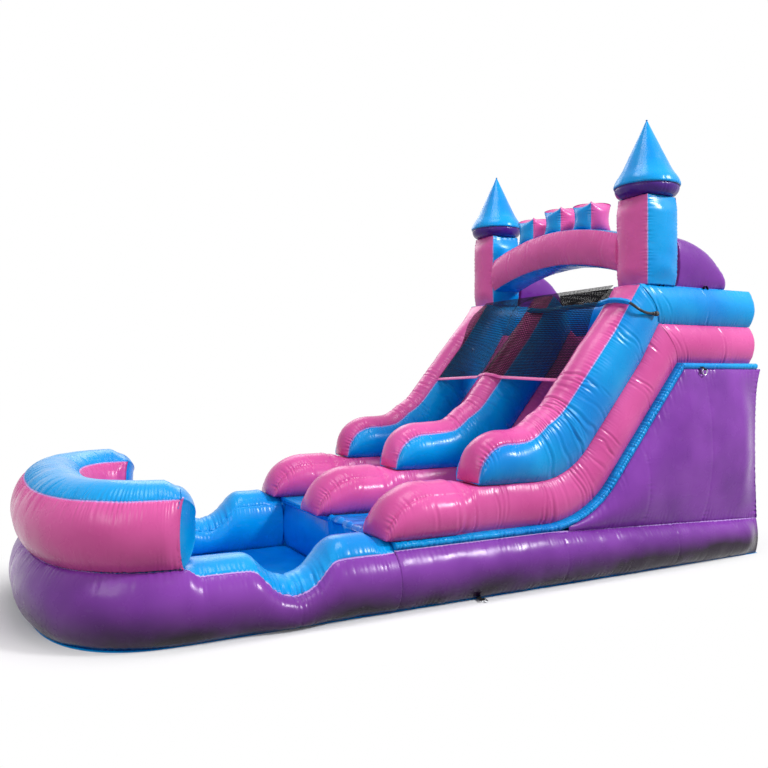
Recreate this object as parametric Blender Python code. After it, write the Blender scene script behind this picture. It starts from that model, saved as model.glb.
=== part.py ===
"""Inflatable castle water slide with a splash pool.

Metres, +Z up. The pool end is at -X, the tower end at +X and the near side at -Y.
The origin is on the ground under the middle. Each air chamber is a solid of its outer shape,
and the tall wedge under the slide is closed by thin skins over inner baffles.
"""
import math

import bmesh
import bpy
import numpy as np

# Base and pool
HALF_WIDTH = 1.245
REAR_X = 2.88
BASE_WALL = 0.35
BASE_HEIGHT = 0.40
BASE_REAR_HEIGHT = 0.31
BASE_BULGE = 0.10
CORNER_BULGE = 0.02
POOL_LENGTH = 2.13
POOL_BEND_DEPTH = 0.84
POOL_BEND_POWER = 2.8
POOL_CROWN = 0.07
NOTCH_HALF = 0.36
NOTCH_DEPTH = 0.19
NOTCH_FROM_REAR = 0.69
BUMPER_SEAT = 0.045
BUMPER_HEIGHT = 0.40
BUMPER_HALF = 0.185
BUMPER_CROWN = 0.09
SHEET = 0.004
FLOOR = 0.015

# Slide
SLOPE = math.radians(50)
DECK_Z = 1.65
DECK_LENGTH = 0.925
BED = 0.05
BEND_RADIUS = 0.80
BEND_STEPS = 6
RUNOUT = 1.655
NOSE_OVERHANG = 0.09
FOOT_SETBACK = 0.68
LOWER_HEIGHT = 0.315
UPPER_HEIGHT = 0.36
UPPER_CROWN = 0.08
FOOT_HEIGHT = 0.29
FOOT_CROWN = 0.09
WALL_HALF = 0.145
WALL_BULGE = 0.05
WALL_INSET = 0.20
NOSE_FLARE = 0.03
NOSE_LENGTH = 0.20
NOSE_MIDDLE = 0.30
NOSE_BLUNT = 2.4
NOSE_CROWN = 0.10
MITRE_RUN = 0.415
RAIL_HEIGHT = 0.315
RAIL_END_GAP = 0.05
SLIP_SHEET = 0.003
PANEL_TIP = 0.19
PANEL_SKIN = 0.006

# Castle
TOWER_HALF = 0.17
TOWER_SETBACK = 0.058
TOWER_HEIGHT = 0.72
TOWER_BULGE = 0.034
ROOF_RADIUS = 0.268
ROOF_HEIGHT = 0.66
ROOF_LIP = 0.115
ARCH_LIFT = 0.15
ARCH_THICK = 0.32
ARCH_RISE = 0.13
ARCH_DEPTH = 0.33
MERLON = 0.235
MERLON_PITCH = 0.40
MERLON_HEIGHT = 0.21
FIN_LENGTH = 0.60
FIN_HEIGHT = 0.47
FIN_HALF = 0.13

# Climbing lane, nets, hose, blower sleeve and anchors
STEPS = 4
STEP_TOP_BACK = 0.20
STEP_REACH = 0.07
STEP_HEIGHT = 0.11
HANDLE_CLEAR = 0.012
HANDLE_RISE = 0.055
WEBBING = 0.038
STRAP = 0.003
NET_THICK = 0.004
NET_STRAND = 0.012
NET_ROWS = 10
NET_COLUMNS = 14
NET_LOW_BACK = 0.83
NET_TOP_BACK = -0.224
NET_TOP_UP = 0.729
NET_OVER_HOSE = 0.045
REAR_NET_HEIGHT = 0.13
HOSE_RADIUS = 0.011
HOSE_SEAT = 0.00325
HOSE_LIFT = 0.05
HOSE_RISE = 0.016
HOSE_PITCH = 0.04
SLEEVE_RADIUS = 0.021
SLEEVE_BORE = 0.0125
NUT_RADIUS = 0.020
NUT_LENGTH = 0.030
BLOWER_RADIUS = 0.11
BLOWER_LENGTH = 0.32
BLOWER_Y = -0.55
RING_WIRE = 0.004
RING_HALF = 0.026
RING_DEPTH = 0.045
TAB_LENGTH = 0.050
BASE_ANCHOR_X = -0.06
BASE_TAB_OFF = 0.00242
BASE_TAB_Z = 0.0125
DECK_ANCHOR_X = 2.17

# Clearance between pieces that touch
GAP = 0.0005

# Derived places
MITRE_X = REAR_X - DECK_LENGTH
RUN_Z = BASE_HEIGHT + GAP + BED
FOOT_X = MITRE_X - (DECK_Z - RUN_Z) / math.tan(SLOPE)
SLOPE_LENGTH = (DECK_Z - RUN_Z) / math.sin(SLOPE) - BEND_RADIUS * math.tan(SLOPE / 2)
STEP_PITCH = (SLOPE_LENGTH - STEP_TOP_BACK - STEP_REACH - 0.02) / (STEPS - 1)
HANDLE_LENGTH = STEP_PITCH - 2 * (STEP_REACH + HANDLE_CLEAR)
POOL_REAR_X = FOOT_X - RUNOUT
NOTCH_X = POOL_REAR_X - NOTCH_FROM_REAR
POOL_BEND_X = POOL_REAR_X - POOL_LENGTH + POOL_BEND_DEPTH
WALL_Y = HALF_WIDTH - WALL_INSET
LANE_INNER = WALL_HALF + WALL_BULGE
LANE_OUTER = WALL_Y - WALL_HALF - WALL_BULGE
RAIL_TOP = DECK_Z + 2 * RAIL_HEIGHT
RAIL_END = REAR_X - RAIL_END_GAP
TOWER_X = MITRE_X - MITRE_RUN + TOWER_SETBACK + TOWER_HALF
TOWER_TOP = RAIL_TOP + GAP + TOWER_HEIGHT
FLOOR_TOP = SHEET + GAP + FLOOR

PINK = (0.80, 0.19, 0.50)
BLUE = (0.005, 0.33, 0.80)
PURPLE = (0.26, 0.08, 0.42)
BLACK = (0.012, 0.012, 0.014)
STEEL = (0.55, 0.56, 0.58)


def clear_scene():
    for item in list(bpy.data.objects):
        bpy.data.objects.remove(item, do_unlink=True)


def make_material(name, colour, roughness, metallic=0.0):
    material = bpy.data.materials.new(name)
    material.use_nodes = True
    shader = material.node_tree.nodes["Principled BSDF"]
    shader.inputs["Base Color"].default_value = (*colour, 1.0)
    shader.inputs["Roughness"].default_value = roughness
    shader.inputs["Metallic"].default_value = metallic
    return material


def make_piece(name, verts, faces, materials, pick=None):
    """One closed mesh with its faces turned out. pick(normal, centre) gives a face its material."""
    mesh = bpy.data.meshes.new(name)
    mesh.from_pydata([tuple(map(float, v)) for v in verts], [], faces)
    bm = bmesh.new()
    bm.from_mesh(mesh)
    bmesh.ops.recalc_face_normals(bm, faces=bm.faces)
    if bm.calc_volume(signed=True) < 0:
        bmesh.ops.reverse_faces(bm, faces=bm.faces)
    bm.to_mesh(mesh)
    bm.free()
    for material in materials:
        mesh.materials.append(material)
    if pick:
        for face in mesh.polygons:
            face.material_index = pick(face.normal, face.center)
    mesh.shade_smooth()
    mesh.set_sharp_from_angle(angle=math.radians(40))
    piece = bpy.data.objects.new(name, mesh)
    bpy.context.scene.collection.objects.link(piece)
    return piece


def loft(name, rings, materials, pick=None, closed=False):
    """Rings of equal count joined in order, with flat caps on an open loft."""
    rings = np.asarray(rings)
    count, size = rings.shape[:2]
    faces = []
    for i in range(count if closed else count - 1):
        a, b = i * size, (i + 1) % count * size
        faces += [(a + j, a + (j + 1) % size, b + (j + 1) % size, b + j) for j in range(size)]
    if not closed:
        faces += [tuple(range(size)), tuple(range((count - 1) * size, count * size))]
    return make_piece(name, rings.reshape(-1, 3), faces, materials, pick)


def arc(start, end, rise, steps):
    """Points from start to end on a circle that stands rise to the left of the chord."""
    start, end = np.array(start, float), np.array(end, float)
    chord = end - start
    length = np.linalg.norm(chord)
    t = np.linspace(0, 1, steps + 1)[:, None]
    if abs(rise) < 1e-6 or length < 1e-6:
        return start + chord * t
    left = np.array([-chord[1], chord[0]]) / length
    radius = (length ** 2 / 4 + rise ** 2) / (2 * abs(rise))
    half = 2 * math.atan2(2 * abs(rise), length)
    angle = (2 * t - 1) * half
    along = np.sin(angle) * radius + length / 2
    out = (np.cos(angle) - math.cos(half)) * radius * math.copysign(1, rise)
    return start + chord / length * along + left * out


def section(half, height, bulge, crown, inner_bulge=None, sides=4, top=4):
    """A chamber's cross-section: flat base, sides that swell and a crowned top, as (across, up)."""
    inner = bulge if inner_bulge is None else inner_bulge
    outer_side = arc((half, 0), (half, height), -bulge, sides)
    over = arc((half, height), (-half, height), -crown, top)
    inner_side = arc((-half, height), (-half, 0), -inner, sides)
    return np.vstack([outer_side, over[1:], inner_side[1:]])


def extrude_outline(name, outline, y0, y1, materials, pick=None):
    """An outline in (x, z) carried from y0 to y1."""
    rings = [[(x, y, z) for x, z in outline] for y in (y0, y1)]
    return loft(name, rings, materials, pick)


def slope_point(back, up=0.0):
    """A point on the slide, back metres down the slope from the deck's edge and up off the bed."""
    x = MITRE_X - back * math.cos(SLOPE) - up * math.sin(SLOPE)
    z = DECK_Z - back * math.sin(SLOPE) + up * math.cos(SLOPE)
    return x, z


def bed_stations(front_x, slope_backs=(0.7, 0.25)):
    """Stations (x, z, angle) along the bed's top, from front_x on the flat up to the slope."""
    tangent = BEND_RADIUS * math.tan(SLOPE / 2)
    stations = [(front_x, RUN_Z, 0.0)]
    centre_x, centre_z = FOOT_X - tangent, RUN_Z + BEND_RADIUS
    for angle in np.linspace(0, SLOPE, BEND_STEPS + 1):
        stations.append((centre_x + BEND_RADIUS * math.sin(angle),
                         centre_z - BEND_RADIUS * math.cos(angle), angle))
    stations += [(*slope_point(back), SLOPE) for back in slope_backs]
    return stations


def bed_line(x, drop):
    """Height of the line that runs drop below the bed's top, at x."""
    tangent = BEND_RADIUS * math.tan(SLOPE / 2)
    centre_x, centre_z = FOOT_X - tangent, RUN_Z + BEND_RADIUS
    radius = BEND_RADIUS + drop
    if x <= centre_x:
        return RUN_Z - drop
    if x <= centre_x + radius * math.sin(SLOPE):
        return centre_z - math.sqrt(radius ** 2 - (x - centre_x) ** 2)
    slope_z = DECK_Z - (MITRE_X - x) * math.tan(SLOPE) - drop / math.cos(SLOPE)
    return min(slope_z, DECK_Z - drop)


def ring_at(station, profile, y, base=0.0):
    """A cross-section stood on the bed at a station, base above it."""
    x, z, angle = station
    return [(x - math.sin(angle) * (base + b), y + a, z + math.cos(angle) * (base + b))
            for a, b in profile]


def mitre_ring(profile, y, height, level):
    """A cross-section laid in the mitre plane, between two levels of the rails."""
    ring = []
    for a, b in profile:
        f = (level + b / height) / 2
        ring.append((MITRE_X - GAP - MITRE_RUN * f, y + a, DECK_Z + GAP + 2 * RAIL_HEIGHT * f))
    return ring


def nose_factors():
    """Distance behind the tip, share of the full size and lift share, round a superellipse."""
    rows = []
    for t in np.radians([8, 24, 42, 62, 90]):
        share = math.sin(t) ** (2 / NOSE_BLUNT)
        behind = NOSE_LENGTH * (1 - max(math.cos(t), 0.0) ** (2 / NOSE_BLUNT))
        rows.append((behind, share, NOSE_MIDDLE * (1 - share)))
    return rows


def lower_tube(name, y, pink):
    """The bottom tube of a wall, from its rounded nose on the run-out up to the mitre."""
    rings = []
    front = POOL_REAR_X - NOSE_OVERHANG
    foot = front + FOOT_SETBACK
    for behind, share, lift in nose_factors():
        crown = NOSE_CROWN * share
        profile = section((WALL_HALF + NOSE_FLARE) * (0.55 + 0.45 * share),
                          (LOWER_HEIGHT - NOSE_CROWN / 2) * share, 0.06 * share, crown)
        rings.append(ring_at((front + behind, RUN_Z, 0), profile, y, GAP + LOWER_HEIGHT * lift))
    profile = section(WALL_HALF + NOSE_FLARE, LOWER_HEIGHT - NOSE_CROWN / 2, 0.06, NOSE_CROWN)
    rings.append(ring_at((foot - 0.16, RUN_Z, 0), profile, y, GAP))
    flat = section(WALL_HALF, LOWER_HEIGHT, WALL_BULGE, 0)
    rings += [ring_at(s, flat, y, GAP) for s in bed_stations(foot + 0.03)]
    rings.append(mitre_ring(section(WALL_HALF, RAIL_HEIGHT, WALL_BULGE, 0), y, RAIL_HEIGHT, 0))
    return loft(name, rings, [pink])


def upper_profile(grown):
    """The top tube's cross-section, from its foot (0) to its full height (1)."""
    height = FOOT_HEIGHT + (UPPER_HEIGHT - FOOT_HEIGHT) * grown
    crown = FOOT_CROWN + (UPPER_CROWN - FOOT_CROWN) * grown
    return section(WALL_HALF, height, WALL_BULGE + 0.005, crown)


def upper_rings(y):
    """The top tube's rings, from its foot on the lower tube up to the mitre."""
    base = LOWER_HEIGHT + 2 * GAP
    front = POOL_REAR_X - NOSE_OVERHANG + FOOT_SETBACK
    rings = []
    for behind, share, lift in nose_factors():
        profile = section(WALL_HALF * (0.55 + 0.45 * share), FOOT_HEIGHT * share, 0.055 * share,
                          FOOT_CROWN * share)
        rings.append(ring_at((front + behind, RUN_Z, 0), profile, y, base + FOOT_HEIGHT * lift))
    stations = bed_stations(front + NOSE_LENGTH + 0.06)
    for index, station in enumerate(stations):
        rings.append(ring_at(station, upper_profile(min(1.0, index / 4)), y, base))
    top = section(WALL_HALF, RAIL_HEIGHT - 0.004, WALL_BULGE, 0.004)
    rings.append(mitre_ring(top, y, RAIL_HEIGHT, 1 + 0.002))
    return rings


def side_is_blue(normal, centre):
    """Blue where a face looks sideways, pink where it looks up or forward."""
    return 1 if abs(normal.y) > 0.72 else 0


def rail(name, y, level, colour):
    """A straight tube beside the deck, cut at the mitre in front."""
    profile = section(WALL_HALF, RAIL_HEIGHT - GAP, WALL_BULGE, 0)
    front = []
    back = []
    for a, b in profile:
        f = (level + b / RAIL_HEIGHT) / 2
        z = DECK_Z + GAP + 2 * RAIL_HEIGHT * f
        front.append((MITRE_X + GAP - MITRE_RUN * f, y + a, z))
        back.append((RAIL_END, y + a, z))
    return loft(name, [front, back], [colour])


def wall(side, y, pink, blue):
    lower_tube(f"wall_{side}_lower", y, pink)
    loft(f"wall_{side}_upper", upper_rings(y), [pink, blue], side_is_blue)


def back_walls(pink, blue):
    """Two tubes across the rear of the deck, between the rails."""
    for level, (name, colour) in enumerate((("back_wall_lower", pink), ("back_wall_upper", blue))):
        z = DECK_Z + GAP + level * RAIL_HEIGHT
        profile = section(WALL_HALF, RAIL_HEIGHT - GAP, WALL_BULGE, 0)
        x = RAIL_END - WALL_HALF - WALL_BULGE
        reach = LANE_OUTER - GAP
        rings = [[(x + a, y, z + b) for a, b in profile] for y in (-reach, reach)]
        loft(name, rings, [colour])


def plan_curve(inset, steps):
    """Points and outward normals round the pool's front, from the near side to the far side.

    The curve is a superellipse whose sides stand inset inside the footprint."""
    across, depth = HALF_WIDTH - inset, POOL_BEND_DEPTH - inset
    t = np.linspace(0, math.pi, steps + 1)
    power = 2 / POOL_BEND_POWER
    cos, sin = np.cos(t), np.sin(t)
    y = -across * np.sign(cos) * np.abs(cos) ** power
    x = POOL_BEND_X - depth * np.abs(sin) ** power
    points = np.stack([x, y], 1)
    gradient = np.stack([
        -np.abs((x - POOL_BEND_X) / depth) ** (POOL_BEND_POWER - 1) / depth,
        np.sign(y) * np.abs(y / across) ** (POOL_BEND_POWER - 1) / across], 1)
    return points, gradient / np.linalg.norm(gradient, axis=1)[:, None]


def wall_path(straight_xs, steps):
    """Stations of the pool wall's centre line: (point, outward normal)."""
    points, normals = plan_curve(BASE_WALL / 2, steps)
    side = HALF_WIDTH - BASE_WALL / 2
    near = [((x, -side), (0, -1)) for x in straight_xs]
    far = [((x, side), (0, 1)) for x in reversed(straight_xs)]
    return near + list(zip(map(tuple, points[1:-1]), map(tuple, normals[1:-1]))) + far


def pool_wall(purple, blue):
    """The U-shaped wall: purple outside, a blue top scooped at a notch on each side."""
    end = POOL_REAR_X - GAP
    xs = [end, *np.linspace(NOTCH_X + NOTCH_HALF, NOTCH_X - NOTCH_HALF, 7), POOL_BEND_X + 0.10,
          POOL_BEND_X]
    rings = []
    for (x, y), (nx, ny) in wall_path(xs, 14):
        dip = 0.5 + 0.5 * math.cos(math.pi * min(abs(x - NOTCH_X) / NOTCH_HALF, 1.0))
        under_bumper = x < POOL_BEND_X + 0.09
        crown = 0.0 if under_bumper else POOL_CROWN + 0.03 * dip
        top = BASE_HEIGHT + (BUMPER_SEAT if under_bumper else -0.01 - NOTCH_DEPTH * dip)
        profile = section(BASE_WALL / 2, top - SHEET - GAP, BASE_BULGE, crown, 0.05)
        rings.append([(x + nx * a, y + ny * a, SHEET + GAP + b) for a, b in profile])

    def pick(normal, centre):
        outward = abs(centre.y) > HALF_WIDTH - BASE_WALL * 0.45 or centre.x < POOL_BEND_X - 0.55
        return 0 if outward and abs(normal.z) < 0.75 else 1

    return loft("pool_wall", rings, [purple, blue], pick)


def pool_bumper(pink, blue):
    """The horseshoe on the front of the pool wall, with end panels that swell."""
    arm = POOL_BEND_X - 0.02
    stations = wall_path([arm, POOL_BEND_X - 0.06], 14)
    base = BASE_HEIGHT + BUMPER_SEAT + GAP
    profile = section(BUMPER_HALF, BUMPER_HEIGHT, 0.075, BUMPER_CROWN)
    middle = np.array([0, BUMPER_HEIGHT / 2])
    rings = []
    for index, ((x, y), (nx, ny)) in enumerate(stations):
        rings.append([(x + nx * a, y + ny * a, base + b) for a, b in profile])
        if index in (0, len(stations) - 1):
            small = middle + (profile - middle) * 0.72
            tip = [(x + 0.035, y + ny * a, base + b) for a, b in small]
            rings.insert(0 if index == 0 else len(rings), tip)

    def pick(normal, centre):
        return 1 if normal.z > 0.6 or (normal.x > 0.8 and centre.x > arm - 0.01) else 0

    return loft("pool_bumper", rings, [pink, blue], pick)


def footprint(inset, steps=20):
    """The base's outline in plan, from the near rear corner round the pool to the far one."""
    points, _ = plan_curve(inset, steps)
    side = HALF_WIDTH - inset
    rear = REAR_X - inset
    return [(rear, -side), *map(tuple, points), (rear, side)]


def flat_sheet(name, outline, z0, z1, material):
    return loft(name, [[(x, y, z) for x, y in outline] for z in (z0, z1)], [material])


def base_top(x):
    """Top of the base tubes: level under the run-out, then falling to the rear."""
    start = FOOT_X - BEND_RADIUS * math.tan(SLOPE / 2)
    fall = (BASE_HEIGHT - BASE_REAR_HEIGHT) * max(0.0, x - start) / (REAR_X - start)
    return BASE_HEIGHT - fall


def base_tubes(purple):
    start = FOOT_X - BEND_RADIUS * math.tan(SLOPE / 2)
    xs = [POOL_REAR_X + GAP, (POOL_REAR_X + start) / 2, start, (start + REAR_X) / 2,
          REAR_X - 0.35, REAR_X - 0.15, REAR_X]
    swells = [BASE_BULGE] * 5 + [BASE_BULGE * 0.75, CORNER_BULGE]
    for side, sign in (("near", -1), ("far", 1)):
        rings = []
        for x, swell in zip(xs, swells):
            profile = section(BASE_WALL / 2, base_top(x) - SHEET - GAP, swell, 0, 0)
            y = sign * (HALF_WIDTH - BASE_WALL / 2)
            rings.append([(x, y + sign * a, SHEET + GAP + b) for a, b in profile])
        loft(f"base_tube_{side}", rings, [purple])
    reach = HALF_WIDTH - BASE_WALL - GAP
    profile = section(BASE_WALL / 2, BASE_REAR_HEIGHT - SHEET - GAP, 0.06, 0, 0)
    rings = [[(REAR_X - BASE_WALL / 2 + a, y, SHEET + GAP + b) for a, b in profile]
             for y in (-reach, reach)]
    loft("base_tube_rear", rings, [purple])


def landing_bolster(blue):
    """The pool's rear wall, under the front edge of the slide bed."""
    reach = HALF_WIDTH - BASE_WALL - GAP
    profile = section(BASE_WALL / 2, BASE_HEIGHT - SHEET - GAP, 0.04, 0, 0)
    x = POOL_REAR_X + 0.04 + BASE_WALL / 2
    rings = [[(x - a, y, SHEET + GAP + b) for a, b in profile] for y in (-reach, reach)]
    return loft("landing_bolster", rings, [blue])


def slide_bed(blue):
    """The flat chamber under the lanes: run-out, bend and slope, to the deck's mitre."""
    stations = bed_stations(POOL_REAR_X + GAP)
    top = [(x, z) for x, z, _ in stations]
    under = [(x + math.sin(t) * BED, z - math.cos(t) * BED) for x, z, t in stations]
    slant = math.tan(SLOPE / 2) * BED
    top.append((MITRE_X - GAP, DECK_Z))
    under.append((MITRE_X - GAP + slant, DECK_Z - BED))
    extrude_outline("slide_bed", top + under[::-1], -HALF_WIDTH, HALF_WIDTH, [blue])
    deck = [(MITRE_X + GAP, DECK_Z), (MITRE_X + GAP + slant, DECK_Z - BED),
            (REAR_X, DECK_Z - BED), (REAR_X, DECK_Z)]
    extrude_outline("deck_bed", deck, -HALF_WIDTH, HALF_WIDTH, [blue])


def slip_sheet(blue):
    """A loose sheet down the slide lane, over the bed's front edge and down to the pool floor."""
    stations = bed_stations(POOL_REAR_X - GAP, (0.7, 0.02))
    low, high = [[(x - math.sin(t) * lift, z + math.cos(t) * lift) for x, z, t in stations]
                 for lift in (GAP, SLIP_SHEET + GAP)]
    front = POOL_REAR_X - GAP
    foot = FLOOR_TOP + GAP
    low.insert(0, (front, foot))
    high[0] = (front - SLIP_SHEET, RUN_Z + SLIP_SHEET + GAP)
    high.insert(0, (front - SLIP_SHEET, foot))
    inner, outer = LANE_INNER + 0.006, LANE_OUTER - 0.006
    return extrude_outline("slip_sheet", low + high[::-1], -outer, -inner, [blue])


def on_slope(outline, back):
    """Points (down the slope, up) as (x, z), from a place back metres below the deck's edge."""
    return [slope_point(back + along, up) for along, up in outline]


def climbing_lane(blue, black):
    """Half-round steps across the far lane, and two webbing handles between them."""
    for step in range(STEPS):
        outline = [(STEP_REACH * math.cos(t), GAP + STEP_HEIGHT * math.sin(t))
                   for t in np.linspace(0, math.pi, 9)]
        extrude_outline(f"climb_step_{step + 1}", on_slope(outline, STEP_TOP_BACK + STEP_PITCH * step),
                        LANE_INNER + 0.003, LANE_OUTER - 0.003, [blue])
    for index, side in enumerate((-1, 1)):
        along = np.linspace(-1, 1, 13)
        rise = HANDLE_RISE * np.cos(np.clip(along * 1.3, -1, 1) * math.pi / 2) ** 2
        low = list(zip(along * HANDLE_LENGTH / 2, GAP + rise))
        high = list(zip(along * HANDLE_LENGTH / 2, GAP + rise + STRAP))
        y = (LANE_INNER + LANE_OUTER) / 2 + side * 0.16
        back = STEP_TOP_BACK + STEP_PITCH * 1.5
        extrude_outline(f"climb_handle_{index + 1}", on_slope(low + high[::-1], back),
                        y - WEBBING / 2, y + WEBBING / 2, [black])


def height_sheet(name, rows, thickness, axis, materials):
    """A thin skin between a grid of points and the same grid set back along an axis."""
    outer = np.asarray(rows)
    inner = outer + np.array(axis) * thickness
    count, size = outer.shape[:2]
    verts = np.concatenate([outer.reshape(-1, 3), inner.reshape(-1, 3)])
    faces = []
    shift = count * size
    for i in range(count - 1):
        for j in range(size - 1):
            a = i * size + j
            quad = (a, a + 1, a + size + 1, a + size)
            faces += [quad, tuple(shift + k for k in reversed(quad))]
    rim = [i * size for i in range(count)]
    rim += [(count - 1) * size + j for j in range(1, size)]
    rim += [i * size + size - 1 for i in range(count - 2, -1, -1)]
    rim += list(range(size - 2, 0, -1))
    faces += [(a, b, b + shift, a + shift) for a, b in zip(rim, rim[1:] + rim[:1])]
    return make_piece(name, verts, faces, materials)


def side_panels(purple):
    """The tall skins at the sides of the wedge, swelling between their seams."""
    start = FOOT_X - PANEL_TIP
    tangent = BEND_RADIUS * math.tan(SLOPE / 2)
    bend = [FOOT_X - tangent + (BEND_RADIUS + BED) * math.sin(t)
            for t in np.linspace(0, SLOPE, BEND_STEPS + 1)]
    edge = MITRE_X + math.tan(SLOPE / 2) * BED
    xs = [start, *[x for x in bend if x > start + 0.02], *np.linspace(bend[-1], edge, 6)[1:],
          *np.linspace(edge, REAR_X, 6)[1:]]
    for side, sign in (("near", -1), ("far", 1)):
        rows = []
        for x in xs:
            low = base_top(x) + GAP
            high = bed_line(x, BED) - GAP
            along = (x - start) / (REAR_X - start)
            swell = 0.09 * min(1.0, 3 * along) * min(1.0, 5 * (1 - along))
            rows.append([(x, sign * (HALF_WIDTH + swell * math.sin(math.pi * t) ** 0.8),
                          low + (high - low) * t) for t in np.linspace(0, 1, 7)])
        height_sheet(f"side_panel_{side}", rows, PANEL_SKIN, (0, -sign, 0), [purple])


def rear_panel(purple):
    reach = HALF_WIDTH - PANEL_SKIN - GAP
    low, high = BASE_REAR_HEIGHT + GAP, DECK_Z - BED - GAP
    rows = []
    for u in np.linspace(-1, 1, 9):
        swell = 0.07 * (1 - u ** 4)
        rows.append([(REAR_X + swell * math.sin(math.pi * t) ** 0.8, reach * u,
                      low + (high - low) * t) for t in np.linspace(0, 1, 7)])
    return height_sheet("rear_panel", rows, PANEL_SKIN, (-1, 0, 0), [purple])


def baffles(purple):
    """Inner sheets that hold the wedge's shape, each with three vent holes."""
    for name, x in (("baffle_front", MITRE_X - 0.45), ("baffle_rear", MITRE_X + 0.40)):
        inner = HALF_WIDTH - BASE_WALL - GAP
        outer = HALF_WIDTH - PANEL_SKIN - GAP
        shoulder = base_top(x) + GAP
        top = bed_line(x, BED) - GAP
        outline = [(-inner, SHEET + GAP), (inner, SHEET + GAP), (inner, shoulder),
                   (outer, shoulder), (outer, top), (-outer, top), (-outer, shoulder),
                   (-inner, shoulder)]
        rings = [[(x + dx, y, z) for y, z in outline] for dx in (0, 0.003)]
        piece = loft(name, rings, [purple])
        for index, y in enumerate((-0.6, 0.0, 0.6)):
            circle = [(y + 0.12 * math.cos(t), 0.60 + 0.12 * math.sin(t))
                      for t in np.linspace(0, 2 * math.pi, 16, endpoint=False)]
            rings = [[(x + dx, a, b) for a, b in circle] for dx in (-0.02, 0.02)]
            cut(piece, loft(f"{name}_vent_{index + 1}", rings, [purple]))


def cut(piece, cutter):
    cutter.hide_render = True
    cutter.display_type = "WIRE"
    boolean = piece.modifiers.new(cutter.name, "BOOLEAN")
    boolean.operation = "DIFFERENCE"
    boolean.solver = "EXACT"
    boolean.object = cutter


def tower(side, y, pink, blue):
    """A square tower, a little waisted at both ends."""
    rings = []
    for z, half in ((RAIL_TOP + GAP, TOWER_HALF - 0.005), (RAIL_TOP + 0.18, TOWER_HALF),
                    (TOWER_TOP - 0.18, TOWER_HALF), (TOWER_TOP, TOWER_HALF - 0.006)):
        corners = [(half, -half), (half, half), (-half, half), (-half, -half), (half, -half)]
        ring = [point for a, b in zip(corners, corners[1:])
                for point in arc(a, b, -TOWER_BULGE, 4)[:-1]]
        rings.append([(TOWER_X + px, y + py, z) for px, py in ring])
    return loft(f"tower_{side}", rings, [pink, blue], lambda n, c: 1 if abs(n.y) > 0.7 else 0)


def roof(side, y, blue, purple):
    """A cone with a rounded purple underside, turned about the tower's middle."""
    base = TOWER_TOP + GAP
    rise = ROOF_HEIGHT - ROOF_LIP
    profile = [(0.16, 0.0), (ROOF_RADIUS * 0.88, 0.014), (ROOF_RADIUS, ROOF_LIP / 2)]
    profile += [(ROOF_RADIUS * (0.99 * (1 - t) + 0.09 * t * (1 - t)) + 0.004, ROOF_LIP + rise * t)
                for t in (0.0, 0.18, 0.40, 0.65, 0.96, 1.0)]
    angles = np.linspace(0, 2 * math.pi, 16, endpoint=False)
    rings = [[(TOWER_X + r * math.cos(t), y + r * math.sin(t), base + z) for t in angles]
             for r, z in profile]
    return loft(f"roof_{side}", rings, [blue, purple],
                lambda n, c: 1 if c.z < base + ROOF_LIP * 0.9 else 0)


def arch_top(y):
    span = WALL_Y - TOWER_HALF - TOWER_BULGE
    return RAIL_TOP + ARCH_LIFT + ARCH_THICK + ARCH_RISE * (1 - (y / span) ** 2)


def arch(pink, blue):
    """The bridge between the towers: pink faces, blue on top and underneath."""
    reach = WALL_Y - TOWER_HALF - TOWER_BULGE - GAP
    rings = []
    for y in np.linspace(-reach, reach, 11):
        top = arch_top(y)
        half = ARCH_DEPTH / 2
        low, high = top - ARCH_THICK, top
        front = arc((-half, low), (-half, high), 0.028, 4)
        back = arc((half, high), (half, low), 0.028, 4)
        ring = np.vstack([front, back])
        rings.append([(TOWER_X + a, y, b) for a, b in ring])
    return loft("arch", rings, [pink, blue], lambda n, c: 1 if abs(n.z) > 0.7 else 0)


def merlon(index, y, pink, blue):
    """A small square bolster seated on the arch's curve, pinched at its corners."""
    half = MERLON / 2
    rings = []
    for u in np.linspace(-1, 1, 5):
        puff = 0.018 * (1 - u ** 2)
        low, high = arch_top(y + u * half) + GAP, arch_top(y) + MERLON_HEIGHT + puff
        front = arc((-half, low), (-half, high), 0.012 + puff, 3)
        back = arc((half, high), (half, low), 0.012 + puff, 3)
        ring = np.vstack([front, arc((-half, high), (half, high), 0.012, 3)[1:-1], back])
        rings.append([(TOWER_X + a, y + u * half, b) for a, b in ring])
    return loft(f"merlon_{index}", rings, [pink, blue], lambda n, c: 1 if abs(n.x) > 0.7 else 0)


def fin(side, y, purple):
    """A quarter-round buttress behind a tower, on top of the rail."""
    start = TOWER_X + TOWER_HALF + TOWER_BULGE + GAP
    rings = []
    for t in np.radians([0, 20, 38, 54, 68, 79, 86]):
        height = FIN_HEIGHT * math.cos(t)
        share = min(1.0, height / 0.2)
        crown = 0.05 * share
        profile = section(FIN_HALF * (0.75 + 0.25 * share), height - crown, 0.028 * share, crown)
        x = start + FIN_LENGTH * math.sin(t)
        rings.append([(x, y + a, RAIL_TOP + GAP + b) for a, b in profile])
    return loft(f"fin_{side}", rings, [purple])


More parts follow.
